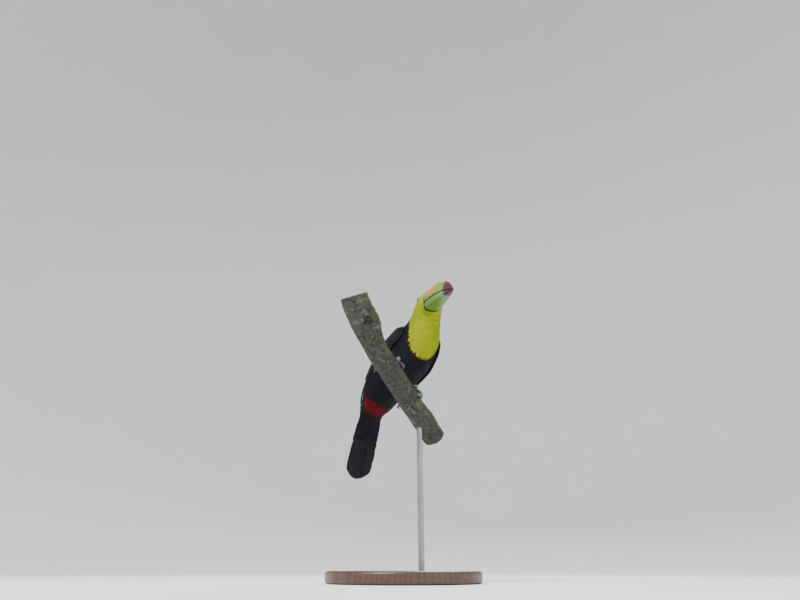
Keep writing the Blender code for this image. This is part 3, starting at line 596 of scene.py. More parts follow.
def steel_material():
    mat, tree, bsdf = shader("stand_steel", Metallic=1.0)
    brush = noise(tree, 2600, 4, 0.6, stretch=(1, 1, 0.015))
    cloud = noise(tree, 45, 3)
    colour = blendc(tree, span(tree, brush, 0.3, 0.7), (0.26, 0.26, 0.27), (0.40, 0.40, 0.41))
    colour = blendc(tree, span(tree, cloud, 0.4, 0.8, 0.0, 0.4), colour, (0.22, 0.22, 0.235))
    paint(tree, bsdf, colour, span(tree, brush, 0.3, 0.7, 0.30, 0.46))
    bump(tree, bsdf, (brush, 0.12, 0.0001))
    return mat


def floor_material():
    mat, tree, bsdf = shader("floor", Specular_IOR_Level=0.2)
    cloud = noise(tree, 2.2, 3)
    paint(tree, bsdf, blendc(tree, cloud, (0.87, 0.875, 0.88), (0.90, 0.90, 0.905)), span(tree, cloud, 0.3, 0.7, 0.7, 0.85))
    bump(tree, bsdf, (noise(tree, 300, 3), 0.03, 0.0005))
    return mat


# ---------------------------------------------------------------- markings

BIB = np.array(
    ((4.12, 0), (4.18, 12), (4.27, 26), (4.62, 43), (5.0, 53), (5.3, 62), (5.6, 76), (6, 98), (7, 112), (8, 107), (9, 107), (10, 110))
)
RED_LINE = 0.05  # how far the red edge runs on below the bib, in stations


def eye_place(side):
    """Centre of an eye in the bird's frame, in millimetres, and the direction out through it."""
    row, left, front, _ = section(STATIONS, np.array(EYE_STATION))
    angle = side * EYE_ANGLE + HEAD_ROLL
    depth = row[5] if math.cos(angle) > 0 else row[4]
    out = left * row[3] * math.sin(angle) + front * depth * math.cos(angle)
    return row[:3] + out - unit(out) * EYE_SINK / MM, unit(out)


def bare_share(points):
    """0 in the feathers to 1 on the bare face, from points in the bird's frame in millimetres."""
    share = np.zeros(points.shape[:-1])
    _, _, _, along = section(STATIONS, np.array(EYE_STATION))
    for side in (1, -1):
        centre, out = eye_place(side)
        ahead = unit(along - out * (along @ out))
        up = np.cross(ahead, out) * -side
        d = points - centre
        x, y, z = d @ ahead, d @ up, d @ out
        reach = np.where(x > 0, 36.0, 12.0)
        tall = np.where(x > 0, 10.5 + x * 0.42, 10.5)
        r = np.hypot(x / reach, (y + 0.16 * np.maximum(x, 0)) / tall)
        share = np.maximum(share, np.where(z > -9, 1 - smooth((r - 0.88) / 0.16), 0))
    return share


def bird_space(points):
    return (points - PLACE) @ ROT / MM


def marks(s, angle):
    """Shares of yellow, red and white plumage at a place on the body; the rest is black."""
    turn = np.abs((np.asarray(angle) - HEAD_ROLL * smooth((s - 5.5) / 2.5) + np.pi) % (2 * np.pi) - np.pi)
    deg = np.degrees(turn)
    wave = 0.025 * np.sin(7 * turn + 1.3 * s) + 0.02 * np.sin(13 * turn)
    edge = np.interp(s + wave * 0.6, BIB[:, 0], BIB[:, 1])
    yellow = smooth((edge - deg) / 5 + 0.5) * (s + wave * 0.6 > BIB[0, 0])
    edge_low = np.interp(s + wave * 0.6 + RED_LINE, BIB[:, 0], BIB[:, 1])
    red = smooth((edge_low - deg) / 5 + 0.5) * (s < 4.75) * (s + wave * 0.6 + RED_LINE > BIB[0, 0]) * (1 - yellow)
    under = smooth((66 - deg) / 8 + 0.5) * smooth((0.86 - s) / 0.1 + 0.5) * smooth((s + 0.12) / 0.1 + 0.5)
    white = smooth((deg - np.interp(s, (0.2, 0.6), (104, 92))) / 6 + 0.5) * smooth((1.0 - s) / 0.12 + 0.5) * smooth((s + 0.5) / 0.12 + 0.5)
    return yellow, np.maximum(red, under), white


# ---------------------------------------------------------------- skin


def grid_body(name, rings):
    """A closed mesh through rings of points, capped with fans."""
    rows, sides = rings.shape[:2]
    points = np.concatenate([rings.reshape(-1, 3), rings[:1].mean(axis=1), rings[-1:].mean(axis=1)])
    at = np.arange(rows * sides).reshape(rows, sides)
    nxt = np.roll(at, -1, axis=1)
    quads = np.stack([at[:-1], nxt[:-1], nxt[1:], at[1:]], -1).reshape(-1, 4)
    first, last = rows * sides, rows * sides + 1
    tris = np.concatenate(
        [
            np.stack([nxt[0], at[0], np.full(sides, first)], -1),
            np.stack([at[-1], nxt[-1], np.full(sides, last)], -1),
        ]
    )
    return closed(array_object(name, points, quads, tris))


def closed(obj):
    """Turns a closed mesh the right way out by its signed volume."""
    mesh = obj.data
    mesh.calc_loop_triangles()
    co = np.zeros(len(mesh.vertices) * 3)
    mesh.vertices.foreach_get("co", co)
    co = co.reshape(-1, 3)
    tri = np.zeros(len(mesh.loop_triangles) * 3, int)
    mesh.loop_triangles.foreach_get("vertices", tri)
    a, b, c = (co[tri.reshape(-1, 3)[:, k]] - co.mean(axis=0) for k in range(3))
    if np.einsum("ij,ij->", a, np.cross(b, c)) < 0:
        mesh.flip_normals()
    return obj


LEGS = {1: ((16, 80, 30), (24, 38, 7)), -1: ((-9, 66, 54), (-24, 28, 36))}
FOOT_RUNS = {1: 37.0, -1: -26.0}
FOOT_TILT = math.radians(24)
TARSUS_RADIUS = 3.7
TOES = (
    ("inner_front", 1, 31.0, 3.5, -1),
    ("outer_front", 1, 41.0, 3.9, 1),
    ("outer_back", -1, 36.0, 3.7, 1),
    ("inner_back", -1, 21.0, 3.4, -1),
)
TOE_SPLAY, CLAW_LENGTH, CLAW_RADIUS, TOE_GAP = 8.5, 12.0, 2.1, 0.6
BARK = BRANCH_RADIUS / MM


def branch_frame():
    over = unit(np.array((0, 0, 1.0)) - BRANCH_DOWN * BRANCH_DOWN[2])
    return np.cross(BRANCH_DOWN, over), over


def branch_axis(run):
    across, over = branch_frame()
    run = np.asarray(run, float)
    bend = np.maximum(0.0, np.abs(run) - GRIP_ZONE) ** 2 / np.where(run < 0, *BRANCH_BENDS)
    sideways = np.where(run < 0, 0.3, -0.4)
    return GRIP + run[..., None] * BRANCH_DOWN + bend[..., None] * (over + across * sideways[..., None])


def foot_frame(side):
    """Axis point, ball, front and downward directions of the branch under a foot, in the bird's frame."""
    down = BRANCH_DOWN @ ROT
    axis = bird_space(branch_axis(FOOT_RUNS[side] * MM))
    ball = np.array((0, math.sin(FOOT_TILT), math.cos(FOOT_TILT)))
    ball = unit(ball - down * (ball @ down))
    front = np.cross(down, ball)
    return axis, ball, front if front[1] < 0 else -front, down


def leg_points(side):
    hip, ankle = (np.array(p, float) for p in LEGS[side])
    axis, ball, _, _ = foot_frame(side)
    sole = axis + ball * (BARK + TOES[0][3])
    shank = unit(sole - ankle)
    knee = mix(hip, ankle, 0.55) + np.array((side * 3, -2, -3))
    return np.array((hip, knee, ankle - shank * 3, ankle)), shank


def thigh(side):
    """Surface function of a feathered thigh: a from hip (0) to ankle (3), b round it, lift in millimetres."""
    table, shank = leg_points(side)

    def surface(a, b, lift):
        a, b, lift = np.broadcast_arrays(*(np.asarray(x, float) for x in (a, b, lift)))
        spot = spline(table, a)
        along = unit(spline(table, a + 0.03) - spline(table, a - 0.03))
        across = np.array((1.0, 0, 0))
        across = unit(across - along * along[..., :1])
        up = np.cross(across, along)
        wide = mix(16.0, 5.4, smooth(a / 3) ** 0.9)
        return to_world(
            spot
            + across * (np.cos(b) * (0.92 * wide + lift))[..., None]
            + up * (np.sin(b) * (wide + lift))[..., None]
        )

    return surface


def make_skin():
    s = np.linspace(-1.35, 10.0, 190)
    angle = np.linspace(0, 2 * np.pi, 72, endpoint=False)
    parts = [grid_body("skin_body", body(s[:, None], angle[None, :]))]
    for side in (1, -1):
        a = np.linspace(0, 3, 30)
        b = np.linspace(0, 2 * np.pi, 30, endpoint=False)
        parts.append(grid_body("skin_thigh", thigh(side)(a[:, None], b[None, :], 0.0)))
        t = np.linspace(0.03, 0.80, 80)[:, None]
        v = np.linspace(0.04, 0.96, 24)[None, :]
        top = wing(side, t, v, wing_lift(t, v) - 0.4 - 2.4 * smooth((t - 0.38) / 0.08))
        under = wing(side, t, v, -5.0)
        parts.append(grid_body("skin_wing", np.concatenate([top, under[:, ::-1]], axis=1)))
    bpy.ops.object.select_all(action="DESELECT")
    for part in parts:
        part.select_set(True)
    skin = parts[0]
    bpy.context.view_layer.objects.active = skin
    bpy.ops.object.join()
    skin.name = skin.data.name = "skin"
    remesh = skin.modifiers.new("one_surface", "REMESH")
    remesh.mode, remesh.voxel_size = "VOXEL", 1.45 * MM
    soft = skin.modifiers.new("soft", "SMOOTH")
    soft.iterations = 4
    bpy.ops.object.modifier_apply(modifier=remesh.name)
    bpy.ops.object.modifier_apply(modifier=soft.name)
    refine_face(skin)
    return dress_skin(skin)


def refine_face(skin):
    """Smaller faces round the eyes and on the bare skin."""
    eyes = [eye_place(side)[0] for side in (1, -1)]
    for reach in (27.0, 14.0):
        spots = np.zeros(len(skin.data.polygons) * 3)
        skin.data.polygons.foreach_get("center", spots)
        spots = bird_space(spots.reshape(-1, 3))
        near = np.minimum(*(np.linalg.norm(spots - eye, axis=1) for eye in eyes)) < reach
        work = bmesh.new()
        work.from_mesh(skin.data)
        work.faces.ensure_lookup_table()
        edges = {edge for i in np.flatnonzero(near) for edge in work.faces[i].edges}
        bmesh.ops.subdivide_edges(work, edges=list(edges), cuts=1, use_grid_fill=True, smooth=0.0)
        bmesh.ops.triangulate(work, faces=[f for f in work.faces if len(f.verts) > 4])
        work.to_mesh(skin.data)
        work.free()
    soft = skin.modifiers.new("soft", "SMOOTH")
    soft.iterations = 3
    bpy.ops.object.modifier_apply(modifier=soft.name)


def dress_skin(skin):
    mesh = skin.data
    count = len(mesh.vertices)
    co = np.zeros(count * 3)
    mesh.vertices.foreach_get("co", co)
    co = co.reshape(-1, 3)
    normal = np.zeros(count * 3)
    mesh.vertices.foreach_get("normal", normal)
    normal = normal.reshape(-1, 3)
    s = np.linspace(-1.35, 10.2, 240)
    angle = np.linspace(0, 2 * np.pi, 150, endpoint=False)
    grid = body(s[:, None], angle[None, :]).reshape(-1, 3)
    tree = KDTree(len(grid))
    for i, p in enumerate(grid):
        tree.insert(p, i)
    tree.balance()
    hit = np.array([tree.find(p)[1:3] for p in co])
    near_s, near_a = s[hit[:, 0].astype(int) // 150], angle[hit[:, 0].astype(int) % 150]
    off = hit[:, 1] / MM
    points = bird_space(co)
    bare = bare_share(points)
    yellow, red, white = marks(near_s, near_a)
    proud = smooth((off - 2.2) / 1.5)
    yellow, red, white = (x * (1 - proud) for x in (yellow, red, white))
    depth = np.interp(near_s, (-1, 5, 7, 9, 10), (2.2, 2.2, 1.7, 1.1, 0.9)) * (1 - bare)
    fold_shade, rim, lift = np.zeros(count), np.zeros(count), np.zeros(count)
    _, _, _, along = section(STATIONS, np.array(EYE_STATION))
    for side in (1, -1):
        centre, out = eye_place(side)
        ahead = unit(along - out * (along @ out))
        up = np.cross(ahead, out) * -side
        d = points - centre
        x, y, z = d @ ahead, d @ up, d @ out
        r = np.hypot(x, y * 1.04)
        turn = np.arctan2(y, x)
        here = (z > -6) * (r < 26) * bare
        lid = np.exp(-(((r - 5.65) / 0.62) ** 2)) * (1.0 + 0.15 * np.sin(turn))
        second = 0.42 * np.exp(-(((r - 7.35) / 0.5) ** 2))
        ripple = 0.5 + 0.5 * np.sin(r * 4.1 + 1.2 * np.sin(2 * turn) + 0.9 * np.sin(5 * turn + 1))
        fade = smooth((r - 7.6) / 1.2) * (1 - smooth((r - 15) / 8))
        notch = 0.5 + 0.5 * np.sin(26 * turn + 2 * np.sin(3 * turn))
        lift += here * (1.25 * lid + second + 0.30 * fade * ripple)
        lift += here * 0.22 * notch * np.exp(-(((r - 6.3) / 0.9) ** 2))
        lift -= here * 1.0 * np.exp(-((r / 4.4) ** 4))
        # Painted shade: this mask is highest in the troughs of the ripples and in the valley between the lid and the
        # second fold.
        fold_shade += here * (fade * (1 - ripple) * 0.8 + np.exp(-(((r - 6.55) / 0.28) ** 2)))
        rim += here * np.exp(-(((r - 5.6) / 0.9) ** 2))
    co = co + normal * ((lift - depth) * MM)[:, None]
    mesh.vertices.foreach_set("co", co.ravel())
    mesh.update()
    mesh.shade_smooth()
    for name, values in (("yellow", yellow), ("red", red), ("white", white), ("bare", bare), ("fold_shade", fold_shade), ("rim", rim)):
        attribute(skin, name, np.clip(values, 0, 1))
    layer = mesh.uv_layers.new(name="OFBake")
    loops = np.zeros(len(mesh.loops), int)
    mesh.loops.foreach_get("vertex_index", loops)
    layer.data.foreach_set("uv", np.stack(chart(near_s, near_a), axis=1)[loops].astype(np.float32).ravel())
    finish_piece(skin, skin_material(), "black_plumage", "head", "neck", "trunk", "leg_left", "leg_right")
    return skin


def chart(s, angle):
    """The unwrap of the body's own shape: round it one way and along it the other."""
    return (np.asarray(angle) / (2 * np.pi) % 1.0) * 0.98 + 0.01, (np.asarray(s) + 1.6) / 12.0


# ---------------------------------------------------------------- small plumage

SIZES = np.array(  # station, length and width of the vanes there, sink of their roots, in millimetres
    (
        (-1.4, 19, 3.9, 2.0),
        (0.0, 18, 4.0, 2.4),
        (1.0, 17, 4.0, 2.4),
        (2.0, 15.5, 4.0, 2.4),
        (3.0, 14, 3.8, 2.3),
        (4.0, 12, 3.5, 2.2),
        (5.0, 10, 3.0, 2.1),
        (6.0, 8.2, 2.5, 1.9),
        (7.0, 7.0, 2.2, 1.7),
        (8.0, 6.0, 2.0, 1.4),
        (9.0, 5.2, 1.8, 1.1),
        (10.0, 4.4, 1.6, 0.9),
    )
)


def lay_body():
    """Roots of the body's small vanes, in staggered rows from the bill to the tail."""
    spots = []
    s, odd = 10.05, 0
    while s > -1.2:
        length, width = (np.interp(s, SIZES[:, 0], SIZES[:, k]) * MM for k in (1, 2))
        ring = body(np.full(73, s), np.linspace(0, 2 * np.pi, 73))
        around = np.linalg.norm(np.diff(ring, axis=0), axis=1)
        place_at = np.concatenate([[0], np.cumsum(around)])
        count = max(8, int(place_at[-1] / (width * 0.58)))
        where = (np.arange(count) + 0.5 * odd + RNG.uniform(-0.22, 0.22, count)) / count * place_at[-1]
        angle = np.interp(where % place_at[-1], place_at, np.linspace(0, 2 * np.pi, 73))
        step_s, _ = metric(body, np.array([s]), np.array([1.6]))
        spots.append(np.stack([s + RNG.uniform(-0.3, 0.3, count) * length * 0.25 / step_s[0], angle], axis=1))
        s -= length * 0.20 / step_s[0]
        odd = 1 - odd
    return np.concatenate(spots)


def make_coat(mats):
    spots = lay_body()
    s, angle = spots[:, 0], spots[:, 1]
    length, width, sink = (np.interp(s, SIZES[:, 0], SIZES[:, k]) for k in (1, 2, 3))
    root = bird_space(body(s, angle))
    step_s, _ = metric(body, s, angle)
    end = bird_space(body(s - length * MM * 0.55 / step_s, angle))
    free = (bare_share(root) < 0.5) & (bare_share(end) < 0.55)
    yellow, red, white = marks(s - length * MM * 0.85 / step_s, angle)
    dice = RNG.random(len(s))
    kind = np.where(white > 0.5, 3, np.where(red > 0.2 + 0.6 * dice, 2, np.where(yellow > 0.25 + 0.5 * dice, 1, 0)))
    turn = np.abs((angle + np.pi) % (2 * np.pi) - np.pi)
    nape = (turn > np.radians(112 + 16 * dice)) & (s > 4.7 + 0.9 * dice) & (s < 7.2 - 0.9 * dice)
    kind = np.where((kind == 0) & nape, 4, kind)
    # the folded wings cover their own beds
    covered = np.zeros(len(s), bool)
    for low_t in (0,):
        t = np.clip((WING_FROM - s) / (WING_FROM - WING_TO), 0, 1)
        low, high = wing_edges(t)
        covered |= (turn > low + 0.16) & (turn < high - 0.16) & (t > 0.06) & (t < 0.80)
    free &= ~covered
    groups = {
        "coat_breast_black": (kind == 0) & (turn < np.radians(100)),
        "coat_back_black": (kind == 0) & (turn >= np.radians(100)) & (s < 6),
        "coat_head_black": (kind == 0) & (turn >= np.radians(100)) & (s >= 6),
        "coat_nape": kind == 4,
        "coat_bib": (kind == 1) & (s < 6.6),
        "coat_cheeks": (kind == 1) & (s >= 6.6),
        "coat_red": kind == 2,
        "coat_rump": kind == 3,
    }
    looks = {"coat_bib": "bib", "coat_cheeks": "bib", "coat_red": "red", "coat_rump": "rump", "coat_nape": "nape"}
    slots = {"coat_bib": "yellow_plumage", "coat_cheeks": "yellow_plumage"}
    for name, chosen in groups.items():
        pick = np.flatnonzero(chosen & free)
        if not len(pick):
            continue
        n = len(pick)
        size = 1 + RNG.uniform(-0.14, 0.14, n)
        obj = small_vanes(
            name,
            body,
            s[pick],
            angle[pick],
            length[pick] * MM * size,
            width[pick] * MM * size,
            sink[pick],
            0.30 + RNG.uniform(0, 0.45, n),
            RNG.normal(0, 0.10, n),
            np.stack(chart(s[pick], angle[pick]), axis=1),
        )
        closed(obj)
        finish_piece(obj, mats[looks.get(name, "black")], slots.get(name, "black_plumage"))
        print(name, n, len(obj.data.polygons))
    for side, label in ((1, "left"), (-1, "right")):
        surface = thigh(side)
        a, b = [], []
        for k, spot in enumerate(np.arange(0.5, 2.80, 0.09)):
            wide = mix(16.0, 5.4, smooth(spot / 3) ** 0.9)
            count = max(9, int(2 * np.pi * wide / 1.5))
            a.append(np.full(count, spot) + RNG.uniform(-0.04, 0.04, count))
            b.append((np.arange(count) + 0.5 * (k % 2) + RNG.uniform(-0.2, 0.2, count)) / count * 2 * np.pi)
        a, b = np.concatenate(a), np.concatenate(b)
        size = np.interp(a, (0.5, 2.9), (1.0, 0.62)) * (1 + RNG.uniform(-0.1, 0.1, len(a)))
        uv = np.stack([b / (2 * np.pi) % 1.0 * 0.98 + 0.01, a / 3.2], axis=1)
        obj = small_vanes("coat_thigh_" + label, surface, a, b, 8.5 * MM * size, 2.3 * MM * size, np.interp(a, (2.0, 2.6), (1.3, 0.1)), np.interp(a, (2.0, 2.7), (0.15, 0.9)) + RNG.uniform(0, 0.3, len(a)), RNG.normal(0, 0.1, len(a)), uv, flow=1.0)
        finish_piece(closed(obj), mats["black"], "black_plumage")


# ---------------------------------------------------------------- wings and tail


def wing_edges(t):
    low = mix(math.radians(68), math.radians(116), smooth((t - 0.15) / 0.85))
    high = mix(math.radians(128), math.radians(172), smooth(t / 0.55))
    opening = np.minimum(1.0, np.sqrt(np.clip(t, 0, 1) / 0.13 + 0.02))
    closing = np.minimum(1.0, (np.clip(1 - t, 0, 1) / 0.45 + 0.015) ** 0.62)
    middle = mix(mix(low, high, 0.42), mix(low, high, 0.62), t)
    share = opening * closing
    return mix(middle, low, share), mix(middle, high, share)


def wing_bed(side):
    """Surface function of a wing's bed: a is t along the wing, b the angle round the body."""

    def surface(a, b, lift):
        a, b, lift = np.broadcast_arrays(*(np.asarray(x, float) for x in (a, b, lift)))
        s = mix(WING_FROM, WING_TO, a)
        row, left, front, _ = section(STATIONS, np.maximum(s, 0))
        root, _, _, headward = section(STATIONS, np.zeros(1))
        way = unit(unit(TAIL_TIP - root[0, :3]) * 0.55 - headward[0] * 0.45)
        step = np.linalg.norm(STATIONS[1, :3] - STATIONS[0, :3])
        centre = row[..., :3] + way * step * np.maximum(-s, 0)[..., None]
        half = np.interp(s, WING_BED[:, 0], WING_BED[:, 1])
        back = np.interp(s, WING_BED[:, 0], WING_BED[:, 2])
        depth = np.where(np.cos(b) > 0, np.maximum(half * 0.9, back), back)
        grow = 0.3 + lift
        return to_world(
            centre
            + left * (side * (half + grow) * np.sin(b))[..., None]
            + front * ((depth + grow) * np.cos(b))[..., None]
        )

    return surface


def wing(side, t, v, lift):
    low, high = wing_edges(np.asarray(t, float))
    return wing_bed(side)(t, mix(low, high, v), lift)


def share_of(t, angle):
    low, high = wing_edges(t)
    return (angle - low) / np.maximum(high - low, 1e-3)


def make_wings(mats):
    for side, label in ((1, "left"), (-1, "right")):
        bed = wing_bed(side)

        def layer(order, slope=0.0, base=-1.5):
            return lambda t, angle: wing_lift(t, np.clip(share_of(t, angle), 0.04, 0.96)) + base + order

        def covert_surface(a, b, lift):
            a, b = np.broadcast_arrays(np.asarray(a, float), np.asarray(b, float))
            return bed(a, b, wing_lift(a, np.clip(share_of(a, b), 0.04, 0.96)) + lift)

        # coverts in rows from the bend
        a, b, size = [], [], []
        t, odd = 0.02, 0
        while t < 0.44:
            low, high = wing_edges(np.array(t))
            span_mm = np.linalg.norm(np.diff(bed(np.full(20, t), np.linspace(low, high, 20), 0.0), axis=0), axis=1).sum() / MM
            length = mix(8.0, 19.0, t / 0.44)
            width = length * 0.40
            count = max(4, int(span_mm / (width * 0.52)))
            v = np.clip((np.arange(count) + 0.5 * odd + RNG.uniform(-0.15, 0.15, count)) / count, 0.01, 0.99)
            a.append(np.full(count, t) + RNG.uniform(-0.004, 0.004, count))
            b.append(mix(low, high, v))
            size.append(np.full(count, length))
            t += length * 0.20 / 205
            odd = 1 - odd
        a, b, size = (np.concatenate(x) for x in (a, b, size))
        n = len(a)
        uv = np.stack([0.02 + 0.96 * a, 0.05 + 0.9 * np.clip(share_of(a, b), 0, 1)], axis=1)
        obj = small_vanes("coat_wing_" + label, covert_surface, a, b, size * MM, size * 0.40 * MM, np.interp(a, (0.02, 0.10), (3.8, 0.9)), RNG.uniform(-0.15, 0.25, n), RNG.normal(0, 0.06, n), uv, flow=1.0)
        finish_piece(closed(obj), mats["black"], "black_plumage")

        # flight feathers: greater coverts over secondaries and tertials over primaries
        vanes, uvs = [], []

        def feather(t0, t1, v0, v1, half, order):
            def line(u):
                t = mix(t0, t1, u)
                low, high = wing_edges(t)
                return t, mix(low, high, mix(v0, v1, smooth(u * 1.1)))

            vanes.append(
                big_vane(
                    bed,
                    line,
                    (half[0] * MM, half[1] * MM),
                    lambda u, v: layer(order)(*(x[:, None] for x in line(u[:, 0]))) + 0.35 * u + 0 * v,
                )
            )
            low, high = wing_edges(np.array(t0))
            uvs.append((0.02 + 0.96 * t0, 0.05 + 0.9 * v0))

        for k in range(9):  # primaries, the outermost lowest
            f = k / 8
            feather(0.44, mix(0.86, 1.0, f**0.7), mix(0.12, 0.42, f), mix(0.04, 0.52, f), (3.9, 5.2), -3.9 + 0.24 * k)
        for k in range(10):  # secondaries
            f = k / 9
            reach = mix(0.70, 0.875, math.sin(f * 2.2)) + RNG.uniform(-0.008, 0.008)
            feather(0.40, reach, mix(0.08, 0.86, f), mix(0.07, 0.80, f), (4.2, 5.4), -2.7 + 0.30 * k)
        for k in range(4):  # tertials
            feather(0.34, 0.64 + 0.055 * k, 0.95 - 0.06 * k, 0.92 - 0.08 * k, (6.2, 6.0), 0.80 - 0.22 * k)
        for k in range(12):  # greater coverts
            f = k / 11
            reach = 0.545 + 0.05 * math.sin(f * 3) + RNG.uniform(-0.010, 0.010)
            feather(0.36, reach, mix(0.05, 0.95, f), mix(0.05, 0.93, f), (3.2, 4.3), 0.05 + 0.14 * k)
        obj = join_vanes("flight_" + label, vanes, np.array(uvs))
        finish_piece(closed(obj), mats["flight"], "black_plumage", "wing_" + label)


def tail_frame():
    root = STATIONS[0, :3]
    along = unit(TAIL_TIP - root)
    left = np.array((1.0, 0, 0))
    left = unit(left - along * along[0])
    front = np.cross(left, along)
    return root, along, left, front if front[1] < 0 else -front


def make_tail(mats):
    root, along, left, front = tail_frame()
    full = np.linalg.norm(TAIL_TIP - root) * MM

    def surface(a, b, lift):
        a, b, lift = np.broadcast_arrays(*(np.asarray(x, float) for x in (a, b, lift)))
        arch = -1.8 * (b / (TAIL_HALF_WIDTH * MM)) ** 2 * smooth(a / full * 2.4)
        return to_world(root + along * (a / MM)[..., None] + left * (b / MM)[..., None] - front * (lift + arch)[..., None])

    vanes, uvs = [], []
    for k in (0, 9, 1, 8, 2, 7, 3, 6, 4, 5):
        across = (k - 4.5) / 5
        inward = abs(across)
        reach = full - 11 * MM * (inward + 0.1) ** 2.2

        def line(u, across=across, reach=reach):
            return mix(-4 * MM, reach, u), np.broadcast_to(across * mix(13.5, 20.5, smooth(u * 1.6)) * MM, u.shape).copy()

        outer = (6.4, 8.2) if across > 0 else (8.2, 6.4)
        lift = mix(1.3, -1.2, inward)
        vanes.append(big_vane(surface, line, (outer[1] * MM, outer[0] * MM), lambda u, v, lift=lift: lift * (0.4 + 0.6 * u) + 0 * v, rows=26, columns=11, thick=0.5, shaft=0.6, camber=0.7, splits=5))
        uvs.append((0.5 + across * 0.45, 0.5))
    obj = join_vanes("tail_feathers", vanes, np.array(uvs))
    finish_piece(closed(obj), mats["flight"], "black_plumage", "tail")


# ---------------------------------------------------------------- bill and eyes

BILL_LENGTH, CULMEN_HEIGHT, MANDIBLE_DEPTH, BILL_HALF_WIDTH, BILL_DROOP = 127.0, 27.0, 15.5, 17.5, 15.0
BILL_TAPER, MOUTH_LINE = 0.30, -6.5
_bill_turn = Matrix.Rotation(math.pi - math.radians(13), 3, "Z") @ Matrix.Rotation(math.radians(-11), 3, "X")
BILL_TURN = np.array(_bill_turn @ Matrix.Rotation(math.radians(14), 3, "Y"))


def bill_point(upper, t, u, inset=0.0):
    """A point on a jaw: t along it, u from its left cutting edge over (or under) to the right one."""
    t, u = np.broadcast_arrays(np.asarray(t, float), np.asarray(u, float))
    q = np.maximum(t, 0)
    width = BILL_HALF_WIDTH * np.maximum(0, 1 - q**2.3) ** 0.62 * (1 - BILL_TAPER * q)
    drop = BILL_DROOP * q**2.1
    arch = np.sin(np.pi * np.clip(u, 0, 1))
    if upper:
        ridge = CULMEN_HEIGHT * (1 + 0.03 * np.sin(np.pi * np.minimum(1, q * 1.3))) * np.maximum(0, 1 - q**3.0) ** 0.72
        high = arch**0.82
        x = np.cos(np.pi * u) * width * (1 - 0.16 * high**2)
        z = high * ridge - drop + MOUTH_LINE
        keel = np.exp(-(((u - 0.5) / 0.045) ** 2)) * smooth(1.1 - q) * 0.35
        groove = np.exp(-((np.abs(u - 0.5) - 0.13) / 0.04) ** 2) * np.exp(-((q / 0.5) ** 2)) * 0.35
        z = z + keel - groove
        tooth = np.exp(-((np.minimum(u, 1 - u) / 0.035) ** 2))
        z = z + tooth * saw(q) * 0.55 * smooth((q - 0.08) / 0.1) * (1 - smooth((q - 0.88) / 0.1))
    else:
        jaw = MANDIBLE_DEPTH * np.maximum(0, 1 - (q / 0.965) ** 2.8) ** 0.8
        high = arch**0.42
        x = np.cos(np.pi * u) * 0.9 * width
        z = -high * jaw - drop + MOUTH_LINE - 0.3
        tooth = np.exp(-((np.minimum(u, 1 - u) / 0.03) ** 2))
        z = z - tooth * 0.35 * saw(q * 1.13 + 0.02) * smooth((q - 0.1) / 0.1) * (1 - smooth((q - 0.85) / 0.1))
    local = np.stack([x, t * BILL_LENGTH, z], -1)
    return local, high


def saw(q):
    """Uneven serrations along the cutting edges."""
    phase = q * 17 + 0.8 * np.sin(q * 23)
    return (phase - np.floor(phase)) ** 2


def bill_world(local):
    return to_world(local @ BILL_TURN.T + STATIONS[BILL_BASE, :3])


def make_bill():
    for upper, name, end in ((True, "bill_upper", 0.995), (False, "bill_lower", 0.95)):
        rows, sides = 150, 57
        t = mix(-5.5 / BILL_LENGTH, end, np.linspace(0, 1, rows) ** 0.86)[:, None]
        u = np.linspace(0, 1, sides)
        u = (u - np.sin(4 * np.pi * u) * 0.028)[None, :]
        local, high = bill_point(upper, t, u)
        count = 9
        f = np.linspace(1, 0, count + 2)[1:-1]
        left, right = local[:, :1], local[:, -1:]
        inner = mix(left, right, (1 - f)[None, ::-1, None][:, ::-1]) if False else left * f[None, :, None] + right * (1 - f)[None, :, None]
        inner = inner[:, ::-1]
        hollow = np.sin(np.pi * f[::-1]) ** 0.35 * 1.0
        inner[..., 2] += (hollow if upper else -hollow)[None, :] * (1 - smooth((t - 0.9) / 0.1))
        ring = np.concatenate([local, inner], axis=1)
        share = np.concatenate([high, np.zeros((rows, count))], axis=1)
        obj = grid_body(name + "_skin", bill_world(ring))
        attribute(obj, "along", np.concatenate([np.repeat(t[:, 0], sides + count), [t[0, 0], 1.0]]))
        attribute(obj, "high", np.concatenate([share.ravel(), [0.5, 0.0]]))
        finish_piece(obj, bill_material(not upper), "bill_green" if upper else "lower_bill", name)
    nostrils()


def nostrils():
    """A dark slit each side of the ridge, where the bill meets the forehead: a near-black piece painted as the shade
    inside the opening.
    """
    for side, label in ((1, "left"), (-1, "right")):
        u = 0.5 - side * 0.15
        local, _ = bill_point(True, np.array([0.022]), np.array([u]))
        centre = local[0]
        a = np.linspace(0, 2 * np.pi, 24, endpoint=False)
        rings = []
        for k, (r, drop) in enumerate(((1.15, 0.06), (1.0, 0.22), (0.75, 0.16), (0.45, -0.15))):
            ring_t = 0.022 + np.cos(a) * r * 2.1 / BILL_LENGTH
            ring_u = u + np.sin(a) * r * 0.016
            point, _ = bill_point(True, ring_t, ring_u)
            out = unit(point - (point * (0, 1, 0) + np.array((0, 0, 2.0))))
            rings.append(point + out * drop)
        rings = np.array([rings[0] - unit(rings[0] * (1, 0, 1)) * 0.8] + rings)
        obj = grid_body("nostril_" + label, bill_world(rings))
        mat, tree, bsdf = shader("nostril_" + label, Specular_IOR_Level=0.4)
        grain = noise(tree, 800, 3)
        # Near-black: painted shade of the opening.
        paint(tree, bsdf, blendc(tree, grain, (0.006, 0.006, 0.005), (0.022, 0.020, 0.014)), span(tree, grain, 0.3, 0.7, 0.4, 0.6))
        bump(tree, bsdf, (grain, 0.2, 0.0001))
        finish_piece(obj, mat, "bill_green")


